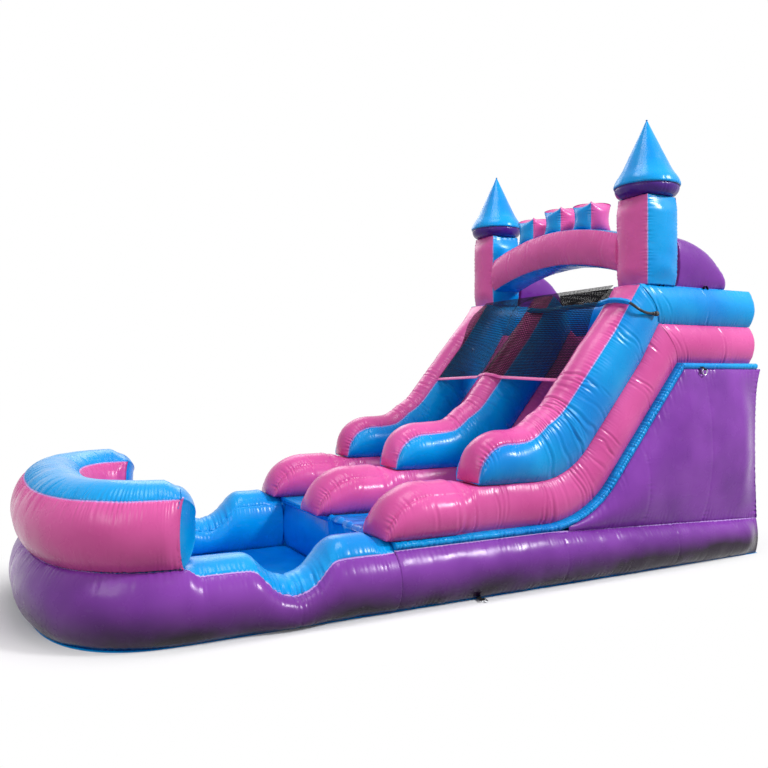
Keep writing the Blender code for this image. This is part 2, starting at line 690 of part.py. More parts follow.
def net_piece(name, place, rows, columns, size, material):
    """A flat net of square gaps: strands between holes, given a thickness.

    place(u, v) puts the net's point, with u and v from 0 to 1."""
    def lines(count, length):
        gap = (length - (count + 1) * NET_STRAND) / count
        starts = [i * (gap + NET_STRAND) for i in range(count + 1)]
        return np.array(sorted(starts + [s + NET_STRAND for s in starts])) / length

    us, vs = lines(rows, size[0]), lines(columns, size[1])
    verts = [place(u, v) for u in us for v in vs]
    faces = []
    for i in range(len(us) - 1):
        for j in range(len(vs) - 1):
            if i % 2 and j % 2:
                continue
            a = i * len(vs) + j
            faces.append((a, a + 1, a + len(vs) + 1, a + len(vs)))
    mesh = bpy.data.meshes.new(name)
    mesh.from_pydata(verts, [], faces)
    mesh.materials.append(material)
    piece = bpy.data.objects.new(name, mesh)
    bpy.context.scene.collection.objects.link(piece)
    solid = piece.modifiers.new("thickness", "SOLIDIFY")
    solid.thickness = NET_THICK
    solid.offset = 0
    solid.use_even_offset = False
    return piece


def net_height(y, back):
    """How far over the bed the net lies: on the walls' tops, over the hose, then up to the arch."""
    inner = LOWER_HEIGHT + UPPER_HEIGHT + 2 * GAP
    crest = inner + UPPER_CROWN
    knots_y = [0, 0.76 * WALL_HALF, 1.2 * WALL_HALF, WALL_Y - WALL_HALF]
    knots_h = [crest + 0.0037, inner + 0.80 * UPPER_CROWN, inner + 0.48 * UPPER_CROWN,
               inner + 0.0028]
    resting = float(np.interp(abs(y), knots_y, knots_h))
    over_hose = resting + 2 * SLEEVE_RADIUS + NET_OVER_HOSE
    return float(np.interp(back, [NET_TOP_BACK, -0.035, 0.035, 0.36],
                           [NET_TOP_UP, over_hose, over_hose, resting]))


def nets(black, pink):
    """The safety net over both lanes, its bound lower edge, and the band over the back wall."""
    reach = WALL_Y - WALL_HALF
    length = NET_LOW_BACK - NET_TOP_BACK

    def over_lanes(u, v):
        y = reach * (2 * v - 1)
        back = NET_LOW_BACK - length * u
        x, z = slope_point(back, net_height(y, back))
        return x, y, z

    net_piece("front_net", over_lanes, NET_ROWS, NET_COLUMNS, (length, 2 * reach), black)
    rings = []
    for y in (-reach, -reach / 2, -WALL_HALF, 0, WALL_HALF, reach / 2, reach):
        up = net_height(y, NET_LOW_BACK)
        corners = [(NET_LOW_BACK + along, h) for along, h in
                   ((0.002, -0.002), (0.032, -0.002), (0.032, 0.006), (0.002, 0.006))]
        rings.append([(slope_point(b, up + h)[0], y, slope_point(b, up + h)[1])
                      for b, h in corners])
    loft("net_binding", rings, [pink])

    reach = WALL_Y - FIN_HALF - 0.03
    x = RAIL_END - 2 * WALL_HALF - WALL_BULGE + 0.02

    def over_back(u, v):
        return x, reach * (2 * v - 1), RAIL_TOP + GAP + REAR_NET_HEIGHT * u

    net_piece("rear_net", over_back, 2, 16, (REAR_NET_HEIGHT, 2 * reach), black)


def frames_along(path):
    """Two unit vectors square to the path at each point, carried along without twist."""
    path = np.asarray(path, float)
    tangents = np.gradient(path, axis=0)
    tangents /= np.linalg.norm(tangents, axis=1)[:, None]
    side = np.cross(tangents[0], (0.3, 0.2, 1.0))
    sides = []
    for tangent in tangents:
        side = side - tangent * side.dot(tangent)
        side /= np.linalg.norm(side)
        sides.append(side)
    sides = np.array(sides)
    return sides, np.cross(tangents, sides)


def round_rings(path, radius, count):
    side, up = frames_along(path)
    t = np.linspace(0, 2 * math.pi, count, endpoint=False)
    circle = np.cos(t)[None, :, None] * side[:, None] + np.sin(t)[None, :, None] * up[:, None]
    return np.asarray(path)[:, None] + circle * radius


def smooth_path(points, pitch):
    """Points about pitch apart on a Catmull-Rom curve through the given ones, those included."""
    points = np.asarray(points, float)
    ends = np.vstack([2 * points[0] - points[1], points, 2 * points[-1] - points[-2]])
    path = []
    for a, b, c, d in zip(ends, ends[1:], ends[2:], ends[3:]):
        count = max(round(np.linalg.norm(c - b) / pitch), 1)
        t = np.linspace(0, 1, count, endpoint=False)[:, None]
        path.append(0.5 * (2 * b + (c - a) * t + (2 * a - 5 * b + 4 * c - d) * t ** 2
                           + (3 * b - a - 3 * c + d) * t ** 3))
    return np.vstack(path + [points[-1:]])


def hollow_tube(name, path, outer, inner, material, sides=8):
    """A tube with its bore open at both ends."""
    out_rings = round_rings(path, outer, sides)
    in_rings = round_rings(path, inner, sides)[::-1]
    return loft(name, np.concatenate([out_rings, in_rings]), [material], closed=True)


def wall_top_point(y, across, share, lift):
    """A point lift off a wall's top tube, between its last two rings."""
    rings = np.array(upper_rings(y)[-2:])
    ring = rings[0] * (1 - share) + rings[1] * share
    middle = ring.mean(0)
    index = int(np.argmin(np.abs(ring[:, 1] - (y + across)) - (ring[:, 2] - middle[2]) * 0.4))
    away = ring[index] - middle
    tangent = rings[1].mean(0) - rings[0].mean(0)
    tangent /= np.linalg.norm(tangent)
    away -= tangent * away.dot(tangent)
    return ring[index] + away / np.linalg.norm(away) * lift


def hose_route():
    """From the middle wall's crest across the slide lane, over the near wall and down its side."""
    lift = SLEEVE_RADIUS + HOSE_SEAT + HOSE_LIFT * WALL_HALF
    rise = np.array([0, 0, HOSE_RISE])
    places = (WALL_HALF, WALL_HALF / 2, 0.0, -WALL_HALF / 2, -WALL_HALF)
    middle = [wall_top_point(0.0, a, 0.55, lift) for a in places[2:]]
    near = [wall_top_point(-WALL_Y, a, 0.55, lift) for a in places]
    beside = np.array([0, 0.09, 0])
    over = [near[0] + rise] + near[1:]
    lane = middle[:2] + [middle[2] + rise, middle[2] + rise - beside,
                         (middle[2] + near[0]) / 2 + rise, over[0] + beside]
    outer = -WALL_Y - WALL_HALF - WALL_BULGE
    down = [np.array([over[-1][0] + 0.05, outer - 0.022, over[-1][2] - 0.05]),
            np.array([over[-1][0] + 0.12, outer - 0.026, over[-1][2] - 0.075]),
            np.array([over[-1][0] + 0.19, outer - 0.026, over[-1][2] - 0.080])]
    return lane, over, down


def turned(name, profile, origin, material, sides=12, lobed=0.0):
    """A closed profile of (along x, radius) turned about a line through origin along x."""
    t = np.linspace(0, 2 * math.pi, sides, endpoint=False)
    rings = []
    for x, r in profile:
        radius = r + lobed * (np.arange(sides) % 2) * (r > 0.0165)
        rings.append(np.stack([np.full(sides, origin[0] + x), origin[1] + radius * np.cos(t),
                               origin[2] + radius * np.sin(t)], 1))
    return loft(name, rings, [material], closed=True)


def water_line(blue, black):
    """The spray hose in its sleeve across the slide lane, and its coupling on the outer side."""
    lane, over, down = hose_route()
    path = smooth_path(lane + over + down, HOSE_PITCH)
    covered = int(np.argmax(path[:, 1] < over[-1][1]))
    hollow_tube("hose_sleeve", path[:covered], SLEEVE_RADIUS, SLEEVE_BORE, blue)
    loft("water_hose", round_rings(path, HOSE_RADIUS, 8), [black])
    tip = down[-1] + np.array([GAP, 0, 0])
    fitting = [(0.0, 0.004), (0.0, 0.014), (0.024, 0.014), (0.026, 0.0095), (0.034, 0.0095),
               (0.034, 0.0118), (0.037, 0.0118), (0.037, 0.004)]
    turned("hose_fitting", fitting, tip, black)
    start = 0.0275
    nut = [(start, 0.0100), (start, NUT_RADIUS - 0.0025), (start + 0.003, NUT_RADIUS - 0.001),
           (start + NUT_LENGTH, NUT_RADIUS - 0.001), (start + NUT_LENGTH, 0.0124),
           (start + 0.0055, 0.0124), (start + 0.0055, 0.0100)]
    turned("hose_coupling", nut, tip, black, 24, 0.001)


def blower_sleeve(purple):
    """The fabric tube at the rear that the blower's outlet goes in."""
    start = REAR_X + 0.06 + GAP
    z = SHEET + GAP + BLOWER_RADIUS
    path = [(start + d, BLOWER_Y, z) for d in (0, 0.05, BLOWER_LENGTH - 0.03, BLOWER_LENGTH)]
    return hollow_tube("blower_sleeve", path, BLOWER_RADIUS, BLOWER_RADIUS - SHEET, purple, 16)


def tilted(sign, angle):
    """Unit vectors out of the side and square to it, turned down by an angle below level."""
    outward = np.array([0, sign * math.cos(angle), -math.sin(angle)])
    return outward, np.array([0, sign * math.sin(angle), math.cos(angle)])


def base_tab_out():
    """How far out a base tab sits: against the base tube's side at the tab's height."""
    side = section(BASE_WALL / 2, BASE_HEIGHT - SHEET - GAP, BASE_BULGE, 0, 0)
    across, up = side[1] - side[0]
    return BASE_TAB_OFF + across / up * (BASE_TAB_Z - SHEET - GAP)


def anchor(name, x, y, z, sign, tilt, hang, black, steel):
    """A webbing tab with a rolled eye, and a D-ring whose bar turns in the eye.

    The bar lies along X. tilt and hang are the tab's and the ring's angles below level."""
    outward, up = tilted(sign, tilt)
    eye = RING_WIRE + 0.0006
    skin = 0.0035
    half = 0.0018
    angles = np.linspace(-math.pi / 2, math.pi / 2, 9)
    root = sign * half * math.sin(tilt)
    centre = np.array([x, y + root, z]) + outward * TAB_LENGTH
    outline = [(-TAB_LENGTH, -half), (-0.012, -half)]
    outline += [((eye + skin) * math.cos(t), (eye + skin) * math.sin(t)) for t in angles]
    outline += [(-0.012, half), (-TAB_LENGTH, half)]
    rings = [[centre + np.array([dx, 0, 0]) + outward * a + up * b for a, b in outline]
             for dx in (-WEBBING / 2, WEBBING / 2)]
    tab = loft(f"{name}_tab", rings, [black])
    circle = [(eye * math.cos(t), eye * math.sin(t))
              for t in np.linspace(0, 2 * math.pi, 12, endpoint=False)]
    rings = [[centre + np.array([dx, 0, 0]) + outward * a + up * b for a, b in circle]
             for dx in (-WEBBING, WEBBING)]
    cut(tab, loft(f"{name}_eye", rings, [black]))
    bend = [(RING_HALF * math.cos(t), 0.010 + (RING_DEPTH - 0.010) * math.sin(t))
            for t in np.linspace(0, math.pi, 9)]
    loop = [(-RING_HALF + 0.004, 0.0), (0.0, 0.0), (RING_HALF - 0.004, 0.0)] + bend
    outward, up = tilted(sign, hang)
    path = np.array([centre + np.array([dx, 0, 0]) + outward * d for dx, d in loop])
    ahead = np.roll(path, -1, 0) - np.roll(path, 1, 0)
    ahead /= np.linalg.norm(ahead, axis=1)[:, None]
    side = np.cross(ahead, up)
    t = np.linspace(0, 2 * math.pi, 6, endpoint=False)
    rings = path[:, None] + RING_WIRE * (np.cos(t)[None, :, None] * side[:, None]
                                         + np.sin(t)[None, :, None] * up[None, None])
    loft(f"{name}_ring", rings, [steel], closed=True)


def anchors(black, steel):
    """Base anchors by the ground at both sides, and guy anchors at the deck's edges."""
    for side, sign in (("near", -1), ("far", 1)):
        anchor(f"base_anchor_{side}", BASE_ANCHOR_X, sign * (HALF_WIDTH + base_tab_out()),
               BASE_TAB_Z, sign, 0.0, math.radians(9), black, steel)
        anchor(f"guy_anchor_{side}", DECK_ANCHOR_X, sign * (HALF_WIDTH + GAP), DECK_Z - BED / 2,
               sign, math.radians(35), math.radians(90), black, steel)


def build():
    clear_scene()
    pink = make_material("pink_vinyl", PINK, 0.28)
    blue = make_material("blue_vinyl", BLUE, 0.28)
    purple = make_material("purple_vinyl", PURPLE, 0.30)
    black = make_material("black_webbing", BLACK, 0.75)
    steel = make_material("ring_steel", STEEL, 0.30, 1.0)
    flat_sheet("ground_sheet", footprint(0.0), 0.0, SHEET, blue)
    inside = BASE_WALL + 0.055
    floor = [(POOL_REAR_X + 0.035, -HALF_WIDTH + inside), *footprint(inside)[1:-1],
             (POOL_REAR_X + 0.035, HALF_WIDTH - inside)]
    flat_sheet("pool_floor", floor, SHEET + GAP, FLOOR_TOP, blue)
    pool_wall(purple, blue)
    pool_bumper(pink, blue)
    base_tubes(purple)
    landing_bolster(blue)
    slide_bed(blue)
    slip_sheet(blue)
    climbing_lane(blue, black)
    side_panels(purple)
    rear_panel(purple)
    baffles(purple)
    for side, y in (("near", -WALL_Y), ("middle", 0.0), ("far", WALL_Y)):
        wall(side, y, pink, blue)
    for side, y in (("near", -WALL_Y), ("far", WALL_Y)):
        rail(f"rail_{side}_lower", y, 0, pink)
        rail(f"rail_{side}_upper", y, 1, blue)
        tower(side, y, pink, blue)
        roof(side, y, blue, purple)
        fin(side, y, purple)
    back_walls(pink, blue)
    arch(pink, blue)
    for index in range(3):
        merlon(index + 1, (index - 1) * MERLON_PITCH, pink, blue)
    nets(black, pink)
    water_line(blue, black)
    blower_sleeve(purple)
    anchors(black, steel)


build()
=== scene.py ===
"""Inflatable castle water slide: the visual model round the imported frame.

Metres, +Z up, pool at -X, tower at +X, near side at -Y. Each air chamber is a closed surface
worked out on a grid: stations along it, and points round its cross-section.
"""

import itertools
import math
from collections import namedtuple

import bpy
import numpy as np
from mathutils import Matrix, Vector


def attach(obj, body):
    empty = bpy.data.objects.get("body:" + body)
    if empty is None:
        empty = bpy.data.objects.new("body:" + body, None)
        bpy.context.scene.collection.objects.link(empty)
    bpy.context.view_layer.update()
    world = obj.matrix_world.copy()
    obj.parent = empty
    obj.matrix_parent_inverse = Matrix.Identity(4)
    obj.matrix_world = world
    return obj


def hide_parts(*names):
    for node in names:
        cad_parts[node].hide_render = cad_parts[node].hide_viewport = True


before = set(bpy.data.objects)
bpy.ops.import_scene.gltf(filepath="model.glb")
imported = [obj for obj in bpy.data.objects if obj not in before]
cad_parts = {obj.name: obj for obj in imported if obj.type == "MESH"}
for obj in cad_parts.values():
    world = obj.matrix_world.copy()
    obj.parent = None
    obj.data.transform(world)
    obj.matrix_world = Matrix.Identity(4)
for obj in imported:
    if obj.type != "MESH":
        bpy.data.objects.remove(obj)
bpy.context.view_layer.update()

# Sizes that part.py gives the frame
HALF_WIDTH = 1.245
REAR_X = 2.88
BASE_WALL = 0.35
BASE_HEIGHT = 0.40
BASE_REAR_HEIGHT = 0.31
BASE_BULGE = 0.10
POOL_LENGTH = 2.13
POOL_BEND_DEPTH = 0.84
POOL_BEND_POWER = 2.8
POOL_CROWN = 0.07
NOTCH_HALF = 0.36
NOTCH_DEPTH = 0.19
NOTCH_FROM_REAR = 0.69
BUMPER_SEAT = 0.045
BUMPER_HEIGHT = 0.40
BUMPER_HALF = 0.185
BUMPER_CROWN = 0.09
SHEET = 0.004
FLOOR = 0.015
SLOPE = math.radians(50)
DECK_Z = 1.65
DECK_LENGTH = 0.925
BED = 0.05
BEND_RADIUS = 0.80
RUNOUT = 1.655
NOSE_OVERHANG = 0.09
FOOT_SETBACK = 0.68
LOWER_HEIGHT = 0.315
UPPER_HEIGHT = 0.36
UPPER_CROWN = 0.08
FOOT_HEIGHT = 0.29
FOOT_CROWN = 0.09
WALL_HALF = 0.145
WALL_BULGE = 0.05
WALL_INSET = 0.20
NOSE_FLARE = 0.03
NOSE_CROWN = 0.10
MITRE_RUN = 0.415
RAIL_HEIGHT = 0.315
RAIL_END_GAP = 0.05
PANEL_TIP = 0.19
TOWER_HALF = 0.17
TOWER_SETBACK = 0.058
TOWER_HEIGHT = 0.72
TOWER_BULGE = 0.034
ROOF_RADIUS = 0.268
ROOF_HEIGHT = 0.66
ARCH_LIFT = 0.15
ARCH_THICK = 0.32
ARCH_RISE = 0.13
ARCH_DEPTH = 0.33
MERLON = 0.235
MERLON_PITCH = 0.40
MERLON_HEIGHT = 0.21
FIN_LENGTH = 0.60
FIN_HEIGHT = 0.47
FIN_HALF = 0.13
STEPS = 4
STEP_TOP_BACK = 0.20
STEP_REACH = 0.07
STEP_HEIGHT = 0.11
HANDLE_CLEAR = 0.012
HANDLE_RISE = 0.055
WEBBING = 0.038
STRAP = 0.003
NET_LOW_BACK = 0.83
NET_TOP_BACK = -0.224
NET_TOP_UP = 0.729
NET_OVER_HOSE = 0.045
REAR_NET_HEIGHT = 0.13
HOSE_RADIUS = 0.011
HOSE_SEAT = 0.00325
HOSE_LIFT = 0.05
HOSE_RISE = 0.016
SLEEVE_RADIUS = 0.021
NUT_RADIUS = 0.020
NUT_LENGTH = 0.030
BLOWER_RADIUS = 0.11
BLOWER_LENGTH = 0.32
BLOWER_Y = -0.55
RING_WIRE = 0.004
RING_HALF = 0.026
RING_DEPTH = 0.045
TAB_LENGTH = 0.050
BASE_ANCHOR_X = -0.06
BASE_TAB_OUT = 0.0092
BASE_TAB_Z = 0.0125
DECK_ANCHOR_X = 2.17
GAP = 0.0005

# Places worked out from them
MITRE_X = REAR_X - DECK_LENGTH
RUN_Z = BASE_HEIGHT + GAP + BED
TANGENT = BEND_RADIUS * math.tan(SLOPE / 2)
FOOT_X = MITRE_X - (DECK_Z - RUN_Z) / math.tan(SLOPE)
BEND_X = FOOT_X - TANGENT
BEND_RUN = BEND_RADIUS * SLOPE
SLOPE_LENGTH = (DECK_Z - RUN_Z) / math.sin(SLOPE) - TANGENT
SLOPE_RUN = BEND_RUN + SLOPE_LENGTH
STEP_PITCH = (SLOPE_LENGTH - STEP_TOP_BACK - STEP_REACH - 0.02) / (STEPS - 1)
HANDLE_LENGTH = STEP_PITCH - 2 * (STEP_REACH + HANDLE_CLEAR)
POOL_REAR_X = FOOT_X - RUNOUT
NOSE_X = POOL_REAR_X - NOSE_OVERHANG
UPPER_FOOT_X = NOSE_X + FOOT_SETBACK
NOTCH_X = POOL_REAR_X - NOTCH_FROM_REAR
POOL_BEND_X = POOL_REAR_X - POOL_LENGTH + POOL_BEND_DEPTH
WALL_Y = HALF_WIDTH - WALL_INSET
LANE_INNER = WALL_HALF + WALL_BULGE
LANE_OUTER = WALL_Y - WALL_HALF - WALL_BULGE
RAIL_TOP = DECK_Z + 2 * RAIL_HEIGHT
RAIL_END = REAR_X - RAIL_END_GAP
TOWER_X = MITRE_X - MITRE_RUN + TOWER_SETBACK + TOWER_HALF
TOWER_TOP = RAIL_TOP + GAP + TOWER_HEIGHT
FLOOR_TOP = SHEET + GAP + FLOOR
SLANT = math.tan(SLOPE / 2) * BED
SIDES = (("near", -1), ("far", 1))

# The photograph's camera
PHOTO_SIZE = 768
EYE = (-3.09, -5.64, 1.55)
AHEAD = (0.464, 0.886, 0.0)
LENS = 35.86
HORIZON_ROW = 375


def make_camera():
    """A level camera at the photograph's place, shifted so that the horizon falls on its row."""
    data = bpy.data.cameras.new("camera")
    data.lens = LENS
    data.shift_y = (HORIZON_ROW - PHOTO_SIZE / 2) / PHOTO_SIZE
    camera = bpy.data.objects.new("camera", data)
    camera.location = EYE
    camera.rotation_euler = Vector(AHEAD).to_track_quat("-Z", "Y").to_euler()
    bpy.context.scene.collection.objects.link(camera)
    bpy.context.scene.camera = camera


make_camera()


# Materials

MIX_FIRST, MIX_SECOND, MIX_COLOUR = 6, 7, 2


def tone(red, green, blue):
    """A colour written as it looks on a screen, 0 to 255, made linear."""
    parts = np.array([red, green, blue]) / 255
    linear = np.where(parts <= 0.04045, parts / 12.92, ((parts + 0.055) / 1.055) ** 2.4)
    return (*map(float, linear), 1.0)


def add_node(tree, kind, inputs, **settings):
    """A node with its settings made. Each input is set to a value, or linked to an output."""
    node = tree.nodes.new("ShaderNode" + kind)
    for setting, value in settings.items():
        setattr(node, setting, value)
    feed(tree, node, inputs)
    return node


def feed(tree, node, inputs):
    """Sets or links a node's inputs, by their names or numbers."""
    for key, value in inputs.items():
        if isinstance(value, bpy.types.NodeSocket):
            tree.links.new(value, node.inputs[key])
        else:
            node.inputs[key].default_value = value


class Finish:
    """A material on Object coordinates, with short ways to add the nodes that finishes share."""

    def __init__(self, name):
        """Starts from Blender's own shader."""
        self.material = bpy.data.materials.new(name)
        self.material.use_nodes = True
        self.tree = self.material.node_tree
        self.shader = self.tree.nodes["Principled BSDF"]
        self.coords = self.add("TexCoord", {}).outputs["Object"]

    def add(self, kind, inputs, **settings):
        """A node in this material."""
        return add_node(self.tree, kind, inputs, **settings)

    def dress(self, inputs):
        """Sets or links the shader's own inputs."""
        feed(self.tree, self.shader, inputs)

    def noise(self, scale, detail=2.0, stretch=(1, 1, 1)):
        """Noise, stretched by a Mapping node where the pattern has a direction."""
        place = self.add("Mapping", {"Vector": self.coords, "Scale": stretch}).outputs["Vector"]
        return self.add("TexNoise", {"Vector": place, "Scale": scale, "Detail": detail}).outputs["Fac"]

    def wave(self, scale, direction):
        """Fine bands, one after another in one direction."""
        inputs = {"Vector": self.coords, "Scale": scale}
        return self.add("TexWave", inputs, bands_direction=direction).outputs["Fac"]

    def maths(self, operation, first, second):
        """Two values added, multiplied and so on."""
        return self.add("Math", {0: first, 1: second}, operation=operation).outputs[0]

    def spread(self, source, low, high, to_low=0.0, to_high=1.0):
        """A value from low to high carried smoothly to the range to_low to to_high."""
        inputs = {"Value": source, "From Min": low, "From Max": high, "To Min": to_low, "To Max": to_high}
        return self.add("MapRange", inputs, interpolation_type="SMOOTHSTEP").outputs["Result"]

    def mix(self, factor, first, second):
        """One colour that turns into another as the factor goes from 0 to 1."""
        inputs = {"Factor": factor, MIX_FIRST: first, MIX_SECOND: second}
        return self.add("Mix", inputs, data_type="RGBA").outputs[MIX_COLOUR]

    def bump(self, layers):
        """Bump from (height, distance, strength) layers, one after another."""
        normal = {}
        for height, distance, strength in layers:
            inputs = {"Height": height, "Distance": distance, "Strength": strength, **normal}
            normal = {"Normal": self.add("Bump", inputs).outputs["Normal"]}
        self.dress(normal)

    def place(self, axis):
        """Place along one axis: X from the pool to the tower end, Z over the ground."""
        return self.add("SeparateXYZ", {0: self.coords}).outputs[axis]


def vinyl(name, light, deep, gloss=0.23, painted_shade=0.0):
    """Coated woven cloth: patchy colour, a faint weave, soft dents, scuffs, and painted shade that darkens
    it towards the ground and the rear.
    """
    n = Finish(name)
    colour = n.mix(n.spread(n.noise(1.6, 3.0), 0.35, 0.68), light, deep)
    rubbed = n.spread(n.noise(9.0, 6.0, (1, 1, 2.5)), 0.60, 0.80, 0.0, 0.03)
    colour = n.mix(rubbed, colour, tone(205, 200, 214))
    # Painted shade: the colour turns deep purple towards the ground, more so towards the rear, standing in
    # for the shadow under the tubes.
    if painted_shade:
        shade_mask = n.maths("MULTIPLY", n.spread(n.place("Z"), 0.0, 0.33, painted_shade, 0.0), n.noise(2.5, 3.0))
        shade_mask = n.maths("MULTIPLY", shade_mask, n.spread(n.place("X"), -0.2, 2.6, 0.9, 1.5))
        colour = n.mix(shade_mask, colour, tone(38, 13, 46))
    shine = n.spread(n.noise(7.0, 5.0), 0.3, 0.7, gloss - 0.04, gloss + 0.09)
    n.dress({"Base Color": colour, "Roughness": shine, "Specular IOR Level": 0.26})
    weave = n.maths("ADD", n.wave(150.0, "X"), n.maths("ADD", n.wave(150.0, "Y"), n.wave(150.0, "Z")))
    n.bump([(weave, 0.0003, 0.07), (n.noise(30.0, 3.0), 0.003, 0.05), (n.noise(6.0, 2.0), 0.012, 0.09)])
    return n.material


def thread_cloth(name, light, deep, scale, roughness=0.8):
    """Woven webbing or netting: crossing threads that shade and lift the surface."""
    n = Finish(name)
    threads = n.maths("MULTIPLY", n.wave(scale, "X"), n.wave(scale, "Z"))
    threads = n.maths("ADD", threads, n.maths("MULTIPLY", n.wave(scale, "Y"), 0.5))
    worn = n.spread(n.noise(26.0, 4.0), 0.45, 0.75)
    shade = n.maths("MULTIPLY", n.maths("ADD", threads, worn), 0.45)
    n.dress({"Base Color": n.mix(shade, deep, light), "Roughness": roughness,
             "Specular IOR Level": 0.06, "Sheen Weight": 0.04})
    n.bump([(threads, 0.0006, 0.6)])
    return n.material


def plain_rubber(name, light, deep, roughness, grain=240.0):
    """Moulded rubber or plastic: fine grain, with dull and rubbed places."""
    n = Finish(name)
    n.dress({"Base Color": n.mix(n.spread(n.noise(30.0, 4.0), 0.4, 0.7), deep, light),
             "Roughness": n.spread(n.noise(60.0, 3.0), 0.3, 0.7, roughness - 0.1, roughness + 0.12)})
    n.bump([(n.noise(grain, 2.0), 0.0004, 0.3)])
    return n.material


def brushed_steel(name):
    """Plated steel wire with fine drawn lines and dull spots."""
    n = Finish(name)
    dull = n.spread(n.noise(120.0, 4.0), 0.45, 0.75)
    n.dress({"Base Color": n.mix(dull, tone(206, 208, 212), tone(142, 143, 146)),
             "Roughness": n.spread(n.noise(300.0, 3.0, (1, 6, 6)), 0.3, 0.7, 0.2, 0.42),
             "Metallic": 1.0})
    n.bump([(n.noise(500.0, 2.0, (1, 8, 8)), 0.0002, 0.3)])
    return n.material


PINK = vinyl("pink vinyl", tone(227, 96, 170), tone(209, 79, 153))
BLUE = vinyl("blue vinyl", tone(0, 160, 232), tone(0, 136, 221))
# The purple darkens towards the ground and the rear: painted shade.
PURPLE = vinyl("purple vinyl", tone(140, 66, 176), tone(116, 48, 152), painted_shade=2.0)
BAND = vinyl("roof band vinyl", tone(78, 36, 136), tone(58, 24, 112))
LILAC = vinyl("lilac seam", tone(196, 158, 224), tone(172, 134, 208), 0.32)
SHINE_BLUE = vinyl("wet slide vinyl", tone(0, 140, 230), tone(0, 116, 216), 0.14)
# The skirt is a real blue strip; its deep tone and its darkening towards the ground are painted shade.
SHADE_BLUE = vinyl("shaded blue skirt vinyl", tone(4, 84, 156), tone(2, 62, 128), 0.30, 0.8)
STITCH = thread_cloth("white stitching", tone(238, 238, 240), tone(196, 196, 200), 420.0, 0.85)
NET = thread_cloth("black netting", tone(12, 12, 18), tone(3, 3, 6), 520.0, 0.9)
STRAPS = thread_cloth("black webbing", tone(46, 46, 50), tone(16, 16, 18), 330.0)
HOSE = plain_rubber("black hose rubber", tone(24, 24, 27), tone(10, 10, 12), 0.42)
PLASTIC = plain_rubber("black moulded plastic", tone(38, 38, 42), tone(18, 18, 20), 0.38, 420.0)
RING_STEEL = brushed_steel("plated ring steel")
CASTLE = (PINK, BLUE, LILAC)
POOL_SIDE = (PURPLE, BLUE, LILAC, SHADE_BLUE)
PIPING_FINISH = 2
SKIRT_FINISH = 3


# Lines, noise, folds and creases

def spots(x, y, z):
    """Points from coordinates on grids that fit together."""
    return np.stack(np.broadcast_arrays(x, y, z), -1)


def run_along(line):
    """Distance along a line at each of its points."""
    return np.concatenate([[0], np.cumsum(np.linalg.norm(np.diff(line, axis=0), axis=1))])


def evenly(line, count, endpoint=True):
    """A count of points spaced evenly along a line."""
    run = run_along(line)
    even = np.linspace(0, run[-1], count, endpoint=endpoint)
    return np.stack([np.interp(even, run, line[:, k]) for k in range(line.shape[1])], -1)


def lengths(grid):
    """Distance along a chamber by the middles of its rings, as a column, and round its middle
    ring, as a row."""
    return run_along(grid.mean(1))[:, None], run_along(grid[len(grid) // 2])[None]


def ease(share):
    """0 to 1 with no slope at either end: three squares less two cubes."""
    return share * share * (3 - 2 * share)


def smooth(value, start, end):
    """0 before start and 1 after end, eased between them."""
    return ease(np.clip((value - start) / (end - start), 0, 1))


def ripple(along, cell, seed):
    """Smooth noise on a line: random heights one cell apart, eased from each to the next."""
    heights = np.random.default_rng(seed).uniform(-1, 1, 2048)
    place = np.asarray(along) / cell + 100
    base = np.floor(place).astype(int)
    share = ease(place - base)
    count = len(heights)
    return heights[base % count] * (1 - share) + heights[(base + 1) % count] * share


def lumps(points, cell, seed):
    """Smooth noise in space: random heights on a lattice, eased between its corners."""
    heights = np.random.default_rng(seed).uniform(-1, 1, (32, 32, 32))
    place = points / cell + 320
    base = np.floor(place).astype(int)
    share = ease(place - base)
    total = np.zeros(points.shape[:-1])
    for corner in itertools.product((0, 1), repeat=3):
        weight = np.prod(np.where(corner, share, 1 - share), axis=-1)
        index = (base + corner) % len(heights)
        total += weight * heights[index[..., 0], index[..., 1], index[..., 2]]
    return total


def puckers(along, away, depth=0.005, reach=0.06, pitch=0.034, seed=1):
    """Short folds that run out from a seam.

    A cosine along the seam, its phase, depth and length made uneven by noise, fades with the
    square of the distance from the seam. A fine groove marks the seam."""
    phase = along / pitch + 0.9 * ripple(along, 2.1 * pitch, seed)
    fold = (0.5 + 0.5 * np.cos(2 * np.pi * phase)) ** 1.6
    size = 0.62 + 0.42 * ripple(along, 1.6 * pitch, seed + 1)
    length = reach * (0.80 + 0.45 * ripple(along, 1.2 * pitch, seed + 2))
    groove = 0.5 * depth * np.exp(-(away / 0.006) ** 2)
    return -depth * size * fold * np.exp(-(away / length) ** 2) - groove


def end_puckers(along, across, depth, reach, pitch, seed):
    """Puckers at both ends of a chamber."""
    return sum(puckers(across, np.abs(along - edge), depth, reach, pitch, seed) for edge in (0, along[-1]))


def creases(along, across, places, depth=0.008, width=0.012, seed=5):
    """Sharp folds across a chamber at the given places, each wandering and fading as it goes:
    a valley that falls off as exp of a power 1.3, with a low ridge on both sides of it."""
    total = np.zeros(np.broadcast(along, across).shape)
    for index, place in enumerate(places):
        wander = 0.02 * ripple(across, 0.12, seed + 7 * index)
        fade = np.clip(0.45 + 0.75 * ripple(across, 0.16, seed + 7 * index + 3), 0, 1)
        away = np.abs(along - place - wander)
        valley = np.exp(-(away / width) ** 1.3) - 0.35 * np.exp(-((away - 2.6 * width) / width) ** 2)
        total -= depth * fade * valley
    return total


def area_under(height, x):
    """The area under a curve, by the straight lines between its points."""
    return float(((height[1:] + height[:-1]) / 2 * np.diff(x)).sum())


# Cross-sections

